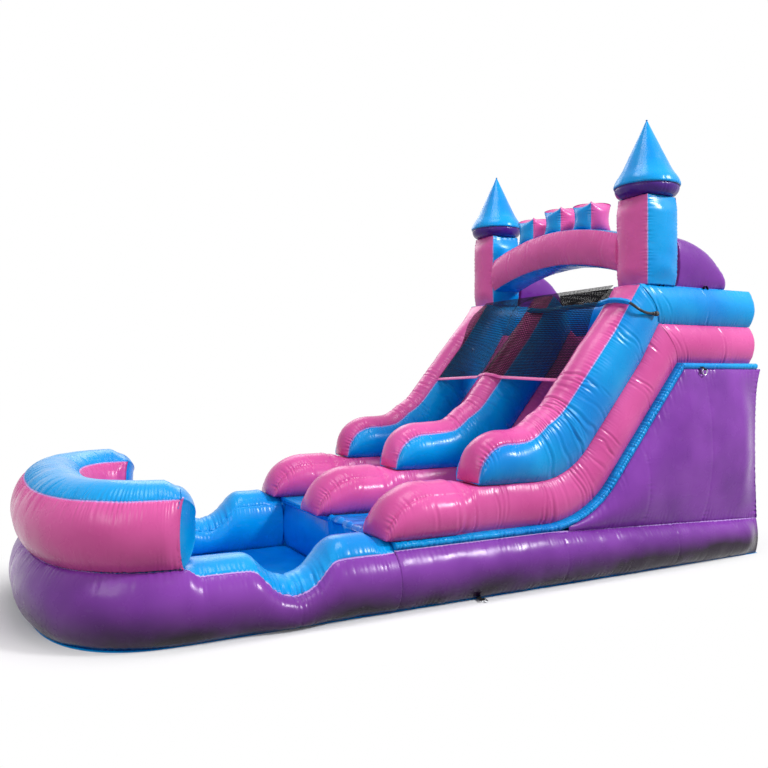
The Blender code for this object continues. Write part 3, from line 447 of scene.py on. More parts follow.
Section = namedtuple("Section", "points panel before after")
PIPING = 0.0015
BASE_PIPING = 0.002
SKIRT = 0.020


def eased(count):
    """count + 1 shares from 0 to 1, closer together near both ends, where the seams are."""
    return 0.5 - 0.5 * np.cos(np.pi * np.arange(count + 1) / count)


def bowed(start, end, rise, shares):
    """Points on the circles that pass through start and end and stand rise off to the right."""
    chord = end - start
    length = np.maximum(np.linalg.norm(chord, axis=-1), 1e-6)[..., None]
    sign = np.where(rise < 0, -1.0, 1.0)[..., None]
    lift = np.maximum(np.abs(rise), 1e-5)[..., None]
    half = 2 * np.arctan2(2 * lift, length)
    radius = (length ** 2 / 4 + lift ** 2) / (2 * lift)
    angle = (2 * shares - 1) * half
    along = (np.sin(angle) * radius + length / 2)[..., None]
    out = ((np.cos(angle) - np.cos(half)) * radius * sign)[..., None]
    unit = chord / length
    right = np.stack([unit[..., 1], -unit[..., 0]], -1)
    return start[..., None, :] + unit[..., None, :] * along + right[..., None, :] * out


def chamber(corners, rises, counts):
    """Cross-sections of bowed panels between seams, taken anticlockwise.

    corners gives each seam's (across, up) by station, rises each panel's bow, counts its points.
    Each point also gets its panel, and how far it is after that panel's first seam and before its
    last one."""
    corners = [np.stack(corner, -1) for corner in corners]
    points, panel, before, after = [], [], [], []
    for index, count in enumerate(counts):
        shares = eased(count)[:-1]
        start, end = corners[index], corners[(index + 1) % len(counts)]
        points.append(bowed(start, end, rises[index], shares))
        length = np.linalg.norm(end - start, axis=-1)[:, None]
        before.append(length * shares)
        after.append(length * (1 - shares))
        panel += [index] * count
    return Section(np.concatenate(points, 1), np.array(panel), np.concatenate(before, 1),
                   np.concatenate(after, 1))


def box_section(half, height, rises, counts):
    """A chamber with a side, top, side and base panel. half, and what else varies, go by station."""
    half, height, *rises = np.broadcast_arrays(half, height, *rises)
    return chamber([(half, 0 * half), (half, height), (-half, height), (-half, 0 * half)], rises, counts)


def square_section(half, rise, count):
    """A chamber with four equal sides about its middle."""
    return chamber([(half, -half), (half, half), (-half, half), (-half, -half)], [rise] * 4, (count,) * 4)


def carried_on(section, count):
    """The last station's seams and panels for count stations more."""
    before, after = (np.concatenate([part, np.repeat(part[-1:], count, 0)]) for part in section[2:])
    return Section(None, section.panel, before, after)


def joined(grid, last, count):
    """Rings carried on in straight lines, from the last of them to another ring."""
    share = np.linspace(0, 1, count)[1:, None, None]
    return np.concatenate([grid, grid[-1] * (1 - share) + last * share])


def seam_folds(section, along, depths, seed, reach=0.06, pitch=0.034):
    """Puckers on both sides of each seam, with that seam's depth."""
    total = np.zeros(section.before.shape)
    last = len(depths) - 1
    for seam, depth in enumerate(depths):
        away = np.where(section.panel == seam, section.before, 9.0)
        away = np.where(section.panel == (seam - 1 if seam else last), section.after, away)
        total += puckers(along, away, depth, reach, pitch, seed + 10 * seam)
    return total


def calmed(section, folds, share=0.0, panels=(3,)):
    """Folds shrunk to a share of their depth on some panels, such as the one that lies below."""
    return np.where(np.isin(section.panel, panels), share * folds, folds)


def paint_panels(section, finishes, seams, width=PIPING):
    """Each square's finish: its panel's, or the piping's within width of the seams named."""
    paint = np.broadcast_to(np.array(finishes)[section.panel], section.before.shape).copy()
    same = np.roll(section.panel, -1) == section.panel
    after = np.where(same, np.roll(section.after, -1, 1), 0)
    last = len(finishes) - 1
    for seam in seams:
        close = (section.panel == seam) & (section.before < width)
        close |= (section.panel == (seam - 1 if seam else last)) & (after < width)
        paint[close] = PIPING_FINISH
    return paint


def paint_pool_side(section):
    """Purple outside with piping on its upper seam, blue on top, and a blue skirt at the ground whose deep
    tone is painted shade.
    """
    paint = paint_panels(section, (0, 1, 1, 1), (1,), BASE_PIPING)
    # The skirt strip, in a blue made deep with painted shade.
    paint[(section.panel == 0) & (section.points[..., 1] < SKIRT)] = SKIRT_FINISH
    return paint


# Surfaces

NO_TRIANGLES = np.zeros((0, 3), int)


def swell(grid, amount):
    """Each point moved along the surface's outward normal, from differences to its neighbours."""
    normal = np.cross(np.gradient(grid, axis=0), np.roll(grid, -1, 1) - np.roll(grid, 1, 1))
    normal /= np.maximum(np.linalg.norm(normal, axis=-1), 1e-9)[..., None]
    middle = grid.mean(1, keepdims=True)
    sign = np.sign(((grid - middle) * normal).sum())
    return grid + normal * sign * amount[..., None]


def make_piece(name, verts, quads, finishes, paint, tris=NO_TRIANGLES, body="root"):
    """A mesh from arrays of points, squares and triangles, turned so that its volume is positive."""
    a, b, c, d = (verts[quads[:, k]] for k in range(4))
    volume = (a * np.cross(b, c)).sum() + (a * np.cross(c, d)).sum()
    volume += (verts[tris[:, 0]] * np.cross(verts[tris[:, 1]], verts[tris[:, 2]])).sum()
    if volume < 0:
        quads, tris = quads[:, ::-1], tris[:, ::-1]
    mesh = bpy.data.meshes.new(name)
    mesh.vertices.add(len(verts))
    mesh.vertices.foreach_set("co", np.ascontiguousarray(verts, dtype=np.float32).ravel())
    loops = np.concatenate([quads.ravel(), tris.ravel()]).astype(np.int32)
    mesh.loops.add(len(loops))
    mesh.loops.foreach_set("vertex_index", loops)
    starts = np.concatenate([np.arange(len(quads)) * 4, len(quads) * 4 + np.arange(len(tris)) * 3])
    mesh.polygons.add(len(starts))
    mesh.polygons.foreach_set("loop_start", starts.astype(np.int32))
    for finish in finishes:
        mesh.materials.append(finish)
    mesh.polygons.foreach_set("material_index", np.asarray(paint, dtype=np.int32))
    mesh.update(calc_edges=True)
    mesh.shade_smooth()
    piece = bpy.data.objects.new(name, mesh)
    bpy.context.scene.collection.objects.link(piece)
    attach(piece, body)
    return piece


def grid_quads(rows, cols, wrap_rows, wrap_cols):
    """The squares of a grid, by the numbers of their corners, joined on round where it wraps."""
    i, j = np.meshgrid(np.arange(rows if wrap_rows else rows - 1),
                       np.arange(cols if wrap_cols else cols - 1), indexing="ij")
    i, j = i.ravel(), j.ravel()
    ahead, over = (i + 1) % rows, (j + 1) % cols
    return np.stack([i * cols + j, i * cols + over, ahead * cols + over, ahead * cols + j], -1)


def plain(grid):
    """The first finish for every square."""
    return np.zeros(grid.shape[:2], int)


def skin(name, grid, finishes, paint=None, wrap_rows=False, body="root"):
    """A closed surface: rings of points joined in order, each end closed by triangles to its middle.

    paint gives each point's square its finish, as (stations, around)."""
    rows, cols = grid.shape[:2]
    paint = plain(grid) if paint is None else paint
    verts = grid.reshape(-1, 3)
    quads = grid_quads(rows, cols, wrap_rows, True)
    if wrap_rows:
        return make_piece(name, verts, quads, finishes, paint.ravel(), body=body)
    j = np.arange(cols)
    over = (j + 1) % cols
    last = (rows - 1) * cols
    verts = np.concatenate([verts, grid[:1].mean(1), grid[-1:].mean(1)])
    start, end = np.full(cols, rows * cols), np.full(cols, rows * cols + 1)
    tris = np.concatenate([np.stack([start, over, j], -1), np.stack([end, last + j, last + over], -1)])
    painted = np.concatenate([paint[:-1].ravel(), paint[0], paint[-2]])
    return make_piece(name, verts, quads, finishes, painted, tris, body)


def shell(name, grid, thickness, finishes, paint=None):
    """A thin closed skin: the grid, the same grid set back along its normals, and a rim."""
    rows, cols = grid.shape[:2]
    normal = np.cross(np.gradient(grid, axis=0), np.gradient(grid, axis=1))
    normal /= np.maximum(np.linalg.norm(normal, axis=-1), 1e-9)[..., None]
    verts = np.concatenate([grid.reshape(-1, 3), (grid + normal * thickness).reshape(-1, 3)])
    quads = grid_quads(rows, cols, False, False)
    count = rows * cols
    edge = np.concatenate([np.arange(cols - 1), np.arange(rows - 1) * cols + cols - 1,
                           count - 1 - np.arange(cols - 1), (np.arange(rows - 1, 0, -1)) * cols])
    over = np.roll(edge, -1)
    rim = np.stack([over, edge, edge + count, over + count], -1)
    painted = (plain(grid) if paint is None else paint)[:-1, :-1].ravel()
    quads = np.concatenate([quads, quads[:, ::-1] + count, rim])
    painted = np.concatenate([painted, painted, np.full(len(rim), painted[0])])
    return make_piece(name, verts, quads, finishes, painted)


def with_ends(grid, paint, rises, finish=0, count=16, piping=None, seed=3, folds=0.004):
    """A chamber's open ends closed by swollen panels, sewn in with puckers round their rims.

    A panel's ring is the end's ring shrunk to the share f about its middle, and stands out by the
    end's rise times (1 - f to the power 2.4) to the power 0.8. An end with no rise stays open."""
    shares = np.cos(np.pi / 2 * np.arange(1, count + 1) / (count + 0.6))
    for end in (0, 1):
        if rises[end] is None:
            continue
        rim, within = (grid[-1], grid[-2]) if end else (grid[0], grid[1])
        middle = rim.mean(0)
        normal = np.cross(rim - middle, np.roll(rim, -1, 0) - middle).sum(0)
        normal /= np.linalg.norm(normal)
        normal *= np.sign((normal * (middle - within.mean(0))).sum())
        spokes = (rim - middle)[None] * shares[:, None, None]
        out = rises[end] * (1 - shares ** 2.4) ** 0.8
        away = np.linalg.norm(rim - middle, axis=1)[None] * (1 - shares[:, None])
        out = out[:, None] + puckers(run_along(rim)[None], away, folds, 0.045, 0.03, seed + end)
        panel = middle + spokes + normal * out[..., None]
        colour = np.full(panel.shape[:2], finish)
        if piping is not None:
            colour[:1] = piping
        if end:
            paint[-1] = colour[0]
            grid, paint = np.concatenate([grid, panel]), np.concatenate([paint, colour])
        else:
            grid, paint = np.concatenate([panel[::-1], grid]), np.concatenate([colour[::-1], paint])
    return grid, paint


def stand_for(piece):
    """Hides the CAD node that a piece stands for.

    A piece is named after its node, with one word more."""
    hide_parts(piece.name.rpartition("_")[0])


def lay(piece, slot, flat, held, rests_on, **area):
    """Hides the CAD node that a sheet stands for. Its slot, the size it was cut to, how it is held, what it
    rests on and its area are not used.
    """
    stand_for(piece)


def chamber_skin(node, grid, finishes, paint):
    """A chamber's closed skin in its CAD node's place."""
    stand_for(skin(node + "_skin", grid, finishes, paint))


# The slide's bed and its three walls

BEND_EASE = 0.46
NOSES = ((0.33, 1.85), (0.29, 2.20))
NOSE_SHIFTS = {"near": (0.04, 0.11), "middle": (-0.01, 0.02), "far": (0.01, 0.07)}
NOSE_LIFT = 0.03
NOSE_WIDTH = 0.97
WALL_PANELS = (20, 24, 20, 8)
WALL_STEP = 0.0066
MITRE_BACK = 0.25
MITRE_STEPS = 52
TOP_HEIGHTS = (RAIL_HEIGHT, RAIL_HEIGHT - 0.004)
RAIL_STEPS = 150
SLAB_STEPS = 30
SLAB_SWELL = 0.0006


def bed_place(run):
    """Places (x, z, angle) on the bed's line, run metres after its bend starts: level before
    that, round the bend's circle, then straight up the slope."""
    turn = np.clip(run / BEND_RADIUS, 0, SLOPE)
    before = np.minimum(run, 0)
    beyond = np.maximum(run - BEND_RUN, 0)
    x = BEND_X + before + BEND_RADIUS * np.sin(turn) + beyond * math.cos(SLOPE)
    z = RUN_Z + BEND_RADIUS * (1 - np.cos(turn)) + beyond * math.sin(SLOPE)
    return x, z, turn


def stand(run, profile, y, base):
    """Cross-sections (across, up) stood square on the bed's line, base above it.

    Higher up, the bend's circle gets a larger radius, set in the same corner, so that the tops
    of the walls turn as gently as blown-up tubes do."""
    up = profile[..., 1] + np.asarray(base).reshape(-1, 1)
    widened = BEND_EASE * smooth(up, 0, 0.80)
    radius = BEND_RADIUS - up + widened
    reach = BEND_RUN / 2 + widened * math.tan(SLOPE / 2)
    past = run[:, None] - BEND_RUN / 2
    beyond = past - np.clip(past, -reach, reach)
    angle = SLOPE / 2 * (1 + np.clip(past / reach, -1, 1))
    centre_x = FOOT_X - (up + radius) * math.tan(SLOPE / 2)
    x = centre_x + radius * np.sin(angle) + np.where(beyond > 0, math.cos(SLOPE), 1.0) * beyond
    z = RUN_Z + up + radius - radius * np.cos(angle) + np.where(beyond > 0, math.sin(SLOPE), 0.0) * beyond
    return spots(x, y + profile[..., 0], z)


def mitred(profile, y, level, side=-1):
    """A cross-section laid in the mitre plane, from one level of the rails up to the next."""
    share = (level + profile[..., 1] / RAIL_HEIGHT) / 2
    return spots(MITRE_X + side * GAP - MITRE_RUN * share, y + profile[..., 0],
                 DECK_Z + GAP + 2 * RAIL_HEIGHT * share)


def slope_point(back, up=0.0):
    """A point on the slide, back metres down the slope from the deck's edge and up off the bed."""
    x = MITRE_X - back * math.cos(SLOPE) - up * math.sin(SLOPE)
    z = DECK_Z - back * math.sin(SLOPE) + up * math.cos(SLOPE)
    return x, z


def nose(behind, level):
    """Share of the full height, behind metres after the tip: a quarter of a superellipse."""
    length, blunt = NOSES[level]
    left = 1 - np.clip(behind / length, 0, 1)
    return np.clip(1 - left ** blunt, 0, 1) ** (1 / blunt)


def wall_runs(front_x, level):
    """Stations from just behind a nose's tip to where the wall starts to turn into the mitre."""
    length, blunt = NOSES[level]
    tip = front_x - BEND_X
    turn = np.linspace(math.radians(2), math.pi / 2, 60)
    behind = length * (1 - np.cos(turn) ** (2 / blunt))
    rest = np.arange(tip + length + 0.006, SLOPE_RUN - MITRE_BACK, WALL_STEP)
    return np.concatenate([tip + behind, rest, [SLOPE_RUN - MITRE_BACK]]), tip


def lower_wall_section(run, tip):
    """The lower tube's sections, their height over the bed and their own: the nose's shape, which
    flares and humps up to where the upper tube starts."""
    behind = run - tip
    share = nose(behind, 0)
    flare = 1 - smooth(behind, FOOT_SETBACK - 0.14, FOOT_SETBACK + 0.09)
    crown = 0.8 * NOSE_CROWN * share ** 0.55 * flare
    half = (WALL_HALF + NOSE_FLARE * flare) * (NOSE_WIDTH + (1 - NOSE_WIDTH) * share)
    bulge = (0.054 + 0.024 * flare) * share ** 0.8
    height = LOWER_HEIGHT * share - 0.4 * crown * share
    section = box_section(half, height, (bulge, crown, bulge, 0), WALL_PANELS)
    return section, GAP + LOWER_HEIGHT * NOSE_LIFT * (1 - share), height


def upper_wall_section(run, tip):
    """The same for the upper tube, which grows from its foot's height to its own up the bend."""
    behind = run - tip
    share = nose(behind, 1)
    grown = np.interp(run, [tip + 0.35, 0, 0.349], [0, 0.25, 1])
    height = (FOOT_HEIGHT + (UPPER_HEIGHT - FOOT_HEIGHT) * grown) * share
    crown = (FOOT_CROWN + (UPPER_CROWN - FOOT_CROWN) * grown) * share ** 0.6
    half = WALL_HALF * (NOSE_WIDTH + (1 - NOSE_WIDTH) * share)
    bulge = (0.058 + 0.022 * (1 - smooth(behind, 0.25, 0.75))) * share
    section = box_section(half, height, (bulge, crown, bulge, 0), WALL_PANELS)
    return section, LOWER_HEIGHT + 2 * GAP + FOOT_HEIGHT * NOSE_LIFT * (1 - share), height


def wall_creases(section, behind, across, front, level, seed):
    """Three creases close together every 42 cm up the slope, six round the bend, and on the lower
    tube some more before the upper tube's foot, where it is pressed in."""
    groups = np.arange(0.95, 3.6, 0.42) + np.random.default_rng(seed).uniform(-0.07, 0.07, 7)
    places = np.concatenate([groups + 0.040 * k for k in (-1, 0, 1)])
    side = np.where(np.isin(section.panel, (0, 2)), 1.0, 0.6)
    folds = side * creases(behind, across, places, 0.0068, 0.0072, seed + 80)
    bend = (BEND_X - front) + np.linspace(0.10, BEND_RUN + 0.06, 6)
    folds += creases(behind, across, bend, (0.005, 0.007)[level], 0.010, seed + 90)
    if level == 0:
        foot = FOOT_SETBACK - 0.02
        folds -= 0.010 * np.exp(-((behind - foot) / 0.03) ** 2)
        folds += creases(behind, across, [0.42, foot - 0.06, foot + 0.09], 0.006, 0.009, seed + 95)
    return folds


def slide_tube(side, y, level, seed):
    """One tube of a wall: the rounded nose, the run-out, the bend, the slope, and a straight
    join from the last square ring to the ring in the mitre plane.

    The strip on top runs down over the nose, where it swells square to its own slope."""
    front = (NOSE_X, UPPER_FOOT_X)[level] + NOSE_SHIFTS[side][level]
    run, tip = wall_runs(front, level)
    section, base, height = (lower_wall_section, upper_wall_section)[level](run, tip)
    grid = stand(run, section.points, y, base)
    fall = np.arctan(np.gradient(height + base, run)) * (run - tip < NOSES[level][0])
    swelling = np.where(section.panel == 1, section.points[..., 1] - height[:, None], 0)
    grid[..., 0] -= swelling * np.sin(fall)[:, None]
    grid[..., 2] -= swelling * (1 - np.cos(fall))[:, None]
    top = box_section(np.array([WALL_HALF]), TOP_HEIGHTS[level], (0.052, 0.004, 0.052, 0), WALL_PANELS)
    grid = joined(grid, mitred(top.points[0], y, level), MITRE_STEPS)
    section = carried_on(section, MITRE_STEPS - 1)
    behind, across = lengths(grid)
    behind = behind + run[0] - tip
    seam = (0.004, 0.005)[level]
    along = run_along(grid[:, WALL_PANELS[0]])[:, None]
    folds = seam_folds(section, along, (0.003, seam, seam, 0.003), seed, 0.060, 0.026)
    folds *= 1 + 1.6 * (1 - smooth(behind, 0.30, 0.60))
    folds += wall_creases(section, behind, across, front, level, seed)
    folds += 0.0035 * lumps(grid, 0.16, seed + 4)
    grid = swell(grid, calmed(section, folds, 0.15) * np.clip(behind / 0.05, 0, 1))
    paint = paint_panels(section, (1, 0, 1, 0), (1, 2)) if level else plain(grid)
    chamber_skin(f"wall_{side}_{('lower', 'upper')[level]}", grid, CASTLE, paint)


for index, (side, y) in enumerate((("near", -WALL_Y), ("middle", 0.0), ("far", WALL_Y))):
    for level in (0, 1):
        slide_tube(side, y, level, 100 + 300 * index + 120 * level)


def rail(side, y, level, seed):
    """A straight tube beside the deck, cut at the mitre in front, with a sewn panel at its rear."""
    section = box_section(np.array([WALL_HALF]), RAIL_HEIGHT - GAP, (0.055, 0, 0.055, 0), (18, 18, 18, 14))
    front = mitred(section.points[0], y, level, 1)
    back = front.copy()
    back[:, 0] = RAIL_END + 0.020
    grid = joined(front[None], back, RAIL_STEPS)
    section = carried_on(section, RAIL_STEPS - 1)
    along, across = lengths(grid)
    folds = seam_folds(section, along, (0.004, 0.005, 0.005, 0.004), seed, 0.06)
    folds += puckers(across, along[-1] - along, 0.004, 0.05, 0.03, seed + 40)
    folds += creases(along, across, [0.05, 0.14, 0.62], 0.005, 0.009, seed + 50)
    folds += 0.003 * lumps(grid, 0.16, seed + 4)
    grid = swell(grid, calmed(section, folds, 0.35, (1, 3)))
    grid, paint = with_ends(grid, plain(grid) + level, (None, 0.006), level, seed=seed, folds=0.002)
    chamber_skin(f"rail_{side}_{('lower', 'upper')[level]}", grid, CASTLE, paint)


for index, (side, sign) in enumerate(SIDES):
    for level in (0, 1):
        rail(side, sign * WALL_Y, level, 1100 + 100 * index + 50 * level)


def straight_tube(node, start, end, half, height, rises, finish, seed, end_rise=0.02):
    """A level tube from start to end along x or y, its section stood up on z."""
    start, end = np.array(start, float), np.array(end, float)
    length = np.linalg.norm(end - start)
    count = int(length / 0.0085) + 2
    section = box_section(np.full(count, half), height, rises, (18, 18, 18, 10))
    ahead = (end - start) / length
    right = np.array([ahead[1], -ahead[0], 0])
    places = start + ahead * np.linspace(0, length, count)[:, None]
    grid = (places[:, None] + right * section.points[..., :1]
            + np.array([0, 0, 1.0]) * section.points[..., 1:])
    along, across = lengths(grid)
    folds = seam_folds(section, along, (0.005,) * 4, seed)
    folds += end_puckers(along, across, 0.005, 0.05, 0.03, seed + 40)
    folds += 0.002 * lumps(grid, 0.10, seed + 4)
    grid = swell(grid, calmed(section, folds, 0.2))
    grid, paint = with_ends(grid, plain(grid), (end_rise, end_rise), seed=seed)
    chamber_skin(node, grid, (finish,), paint)


for level, (node, finish, slot) in enumerate((("back_wall_lower", PINK, "pink"),
                                              ("back_wall_upper", BLUE, "blue"))):
    x = RAIL_END - WALL_HALF - WALL_BULGE
    z = DECK_Z + GAP + level * RAIL_HEIGHT
    straight_tube(node, (x, -LANE_OUTER + 0.02, z), (x, LANE_OUTER - 0.02, z), WALL_HALF,
                  RAIL_HEIGHT - GAP, (0.052, 0, 0.052, 0), finish, 1400 + 100 * level)


def slab(node, grid, section, seam, roughness, rises, seed, end_seed):
    """A flat chamber across the whole width: its edges swell, and the seams along them pucker."""
    depth, reach, pitch = seam
    folds = seam_folds(section, lengths(grid)[0], (depth,) * 4, seed, reach, pitch)
    folds = np.minimum(folds + roughness * lumps(grid, 0.12, seed + 4), SLAB_SWELL)
    grid = swell(grid, calmed(section, folds))
    grid, paint = with_ends(grid, plain(grid), rises, 0, 5, seed=end_seed, folds=0.001)
    chamber_skin(node, grid, (BLUE,), paint)


def slab_section(count, points):
    """A slab's section at a count of stations, and where the slabs' mitre is at each point."""
    section = box_section(np.full(count, HALF_WIDTH), BED, (0.014, 0, 0.014, 0), points)
    return section, MITRE_X + SLANT * (1 - section.points[-1, :, 1] / BED)


def slide_bed():
    """The slab from the pool's rear, round the bend and up to the mitre."""
    run = np.arange(POOL_REAR_X + 0.008 - BEND_X, SLOPE_RUN - MITRE_BACK, WALL_STEP)
    section, mitre = slab_section(len(run), (8, 40, 8, 8))
    across, up = section.points[-1].T
    grid = stand(run, section.points, 0.0, -BED)
    grid = joined(grid, spots(mitre - GAP, across, DECK_Z - BED + up), SLAB_STEPS)
    section = carried_on(section, SLAB_STEPS - 1)
    slab("slide_bed", grid, section, (0.014, 0.035, 0.030), 0.0012, (0.008, None), 1600, 1600)


def deck_bed():
    """The deck's slab, from the mitre to the rear."""
    section, mitre = slab_section(110, (8, 60, 8, 20))
    share = np.linspace(0, 1, len(section.points))[:, None]
    x = mitre + GAP + (REAR_X - 0.006 - (mitre + GAP)) * share
    grid = spots(x, section.points[..., 0], DECK_Z - BED + section.points[..., 1])
    slab("deck_bed", grid, section, (0.004, 0.05, 0.04), 0.001, (None, 0.008), 1650, 3)


slide_bed()
deck_bed()


# Base, pool and its bumper

TUBE_SEAMS = (-1.39, -0.70, 0.68, 1.82)
BUMPER_END_DIP = 0.036


def base_top(x):
    """Top of the base tubes: level under the run-out, then falling to the rear."""
    return BASE_HEIGHT - (BASE_HEIGHT - BASE_REAR_HEIGHT) * np.maximum(0, x - BEND_X) / (REAR_X - BEND_X)


def cross_seams(x, around, places, seed):
    """The panel seams that run round a tube: a groove with short puckers on both sides."""
    return sum(puckers(around, np.abs(x - place), 0.005, 0.035, 0.03, seed + 9 * index)
               for index, place in enumerate(places))


def base_tube(side, sign, seed):
    """A tube along the foot of the slide, swelling outwards, its top sewn to the bed."""
    x = np.arange(POOL_REAR_X + GAP, REAR_X - 0.01, 0.0095)[:, None]
    swelling = BASE_BULGE - 0.08 * smooth(x[:, 0], REAR_X - 0.24, REAR_X)
    section = box_section(np.full(len(x), BASE_WALL / 2), base_top(x[:, 0]) - SHEET - GAP,
                          (swelling, 0, 0, 0), (40, 8, 6, 8))
    y = sign * (HALF_WIDTH - BASE_WALL / 2)
    grid = spots(x, y + sign * section.points[..., 0], SHEET + GAP + section.points[..., 1])
    along, across = lengths(grid)
    folds = seam_folds(section, along, (0.006, 0.008, 0.0, 0.0), seed, 0.075, 0.036)
    folds += cross_seams(x, across, TUBE_SEAMS, seed + 50)
    folds += 0.003 * lumps(grid, 0.12, seed + 4)
    grid = swell(grid, calmed(section, folds, panels=(1, 2, 3)))
    grid, paint = with_ends(grid, paint_pool_side(section), (None, 0.03), seed=seed)
    chamber_skin(f"base_tube_{side}", grid, POOL_SIDE, paint)


def cross_tube(node, x, side, height, bulge, finish, seed):
    """A tube across the base between its side tubes, bulging to the rear or to the pool."""
    reach = side * (HALF_WIDTH - BASE_WALL - GAP)
    straight_tube(node, (x, -reach, SHEET + GAP), (x, reach, SHEET + GAP), BASE_WALL / 2,
                  height - SHEET - GAP, (bulge, 0, 0, 0), finish, seed, 0.005)


for index, (side, sign) in enumerate(SIDES):
    base_tube(side, sign, 1700 + 90 * index)
cross_tube("base_tube_rear", REAR_X - BASE_WALL / 2, 1, BASE_REAR_HEIGHT, 0.06, PURPLE, 1900)
cross_tube("landing_bolster", POOL_REAR_X + 0.04 + BASE_WALL / 2, -1, BASE_HEIGHT, 0.04, SHINE_BLUE,
           1950)


def pool_line(arm_x, inset, step):
    """Stations round the pool: straight near arm, superellipse, straight far arm.

    On the bend y is the cosine and x the sine of an angle, each to the power 2 over the
    superellipse's own. Returns places and outward normals one step apart, and the run."""
    t = np.linspace(0, np.pi, 4001)
    across, depth = HALF_WIDTH - inset, POOL_BEND_DEPTH - inset
    power = 2 / POOL_BEND_POWER
    y = -across * np.sign(np.cos(t)) * np.abs(np.cos(t)) ** power
    x = POOL_BEND_X - depth * np.abs(np.sin(t)) ** power
    places = np.concatenate([[[arm_x, -across]], np.stack([x, y], -1), [[arm_x, across]]])
    places = places[places[:, 0] <= arm_x]
    length = run_along(places)[-1]
    count = int(length / step) + 2
    places = evenly(places, count)
    ahead = np.gradient(places, axis=0)
    ahead /= np.linalg.norm(ahead, axis=1)[:, None]
    return places, np.stack([-ahead[:, 1], ahead[:, 0]], -1), np.linspace(0, length, count)[:, None]


def carry_round(places, normals, section, base):
    """Cross-sections stood up along a line on the ground, across along its outward normals."""
    flat = places[:, None] + normals[:, None] * section.points[..., :1]
    return np.concatenate([flat, base + section.points[..., 1:]], -1)


def notch_dip(x):
    """Share of the notch's depth: rounded at the bottom, with straight sides up to sharp corners,
    then evened out over nine stations."""
    valley = np.interp(np.abs(x - NOTCH_X) / NOTCH_HALF, (0, 0.14, 0.30, 0.44, 0.56, 0.66, 0.74, 1),
                       (1, 0.96, 0.84, 0.62, 0.34, 0.11, 0.02, 0))
    return np.convolve(np.pad(valley, 4, mode="edge"), np.full(9, 1 / 9), mode="valid")


def pool_wall():
    """The U-shaped wall, scooped on each side at its notch, under the bumper in front."""
    places, normals, along = pool_line(POOL_REAR_X - GAP, BASE_WALL / 2, 0.0085)
    x = places[:, 0]
    dip = notch_dip(x)
    under = smooth(-x, -(POOL_BEND_X + 0.02), -(POOL_BEND_X - 0.07))
    mound = smooth(x, NOTCH_X + 0.20, NOTCH_X + 0.34)
    mound = mound * (1 - smooth(x, POOL_REAR_X - 0.17, POOL_REAR_X - 0.07))
    top = BASE_HEIGHT - 0.01 - NOTCH_DEPTH * dip + (BUMPER_SEAT + 0.01) * under
    crown = (POOL_CROWN + 0.02 * dip + 0.045 * mound) * (1 - under)
    section = box_section(np.full(len(x), BASE_WALL / 2), top - SHEET - GAP, (0.10, crown, 0.05, 0),
                          (30, 32, 20, 6))
    grid = carry_round(places, normals, section, SHEET + GAP)
    across = lengths(grid)[1]
    outside = section.panel == 0
    folds = seam_folds(section, along, (0.004, 0.008, 0.006, 0.004), 2000, 0.075, 0.025)
    scoop = (dip ** 0.7)[:, None] * (section.panel == 1)
    near_seam = np.clip(1.1 - section.before * section.after * 30, 0.25, 1)
    phase = along / 0.046 + 1.2 * ripple(along, 0.07, 2070)
    folds += scoop * 0.008 * np.cos(2 * np.pi * phase) * near_seam
    folds -= 0.010 * scoop * np.exp(-((x[:, None] - NOTCH_X) / 0.010) ** 2)
    folds += cross_seams(x[:, None], across, TUBE_SEAMS[:1], 2080) * outside
    nose_seam = puckers(across, np.abs(places[:, 1:]), 0.005, 0.04, 0.032, 2090)
    folds += nose_seam * outside * (x < POOL_BEND_X)[:, None]
    folds += 0.003 * lumps(grid, 0.16, 2004)
    grid = swell(grid, calmed(section, folds))
    chamber_skin("pool_wall", grid, POOL_SIDE, paint_pool_side(section))


def pool_bumper():
    """The horseshoe on the pool wall: pink sides, blue top, and swollen blue end panels."""
    places, normals, along = pool_line(POOL_BEND_X - 0.065, BASE_WALL / 2, 0.0046)
    ends = np.minimum(along, along[-1] - along)
    swelling = 0.55 + 0.45 * smooth(ends[:, 0], 0, 0.10)
    section = box_section(np.full(len(places), BUMPER_HALF), BUMPER_HEIGHT,
                          (0.082 * swelling, BUMPER_CROWN * swelling, 0.075 * swelling, 0), (30, 34, 26, 8))
    grid = carry_round(places, normals, section, BASE_HEIGHT + BUMPER_SEAT + GAP)
    across = lengths(grid)[1]
    up = section.points[..., 1] / BUMPER_HEIGHT
    drawn_in = np.clip(1 - ends / 0.32, 0, 1) ** 2 * np.clip(4 * up * (1 - up), 0, 1) ** 0.7
    grid[..., 0] -= BUMPER_END_DIP * drawn_in * (section.panel != 1)
    folds = seam_folds(section, along, (0.004, 0.009, 0.007, 0.004), 2200, 0.095, 0.0165)
    folds += end_puckers(along, across, 0.004, 0.045, 0.024, 2260)
    folds += 0.003 * lumps(grid, 0.16, 2204)
    grid = swell(grid, calmed(section, folds, 0.2))
    paint = paint_panels(section, (0, 1, 0, 0), (1, 2))
    grid, paint = with_ends(grid, paint, (0.10, 0.10), 1, 24, seed=2290, folds=0.006)
    chamber_skin("pool_bumper", grid, CASTLE, paint)


pool_wall()
pool_bumper()


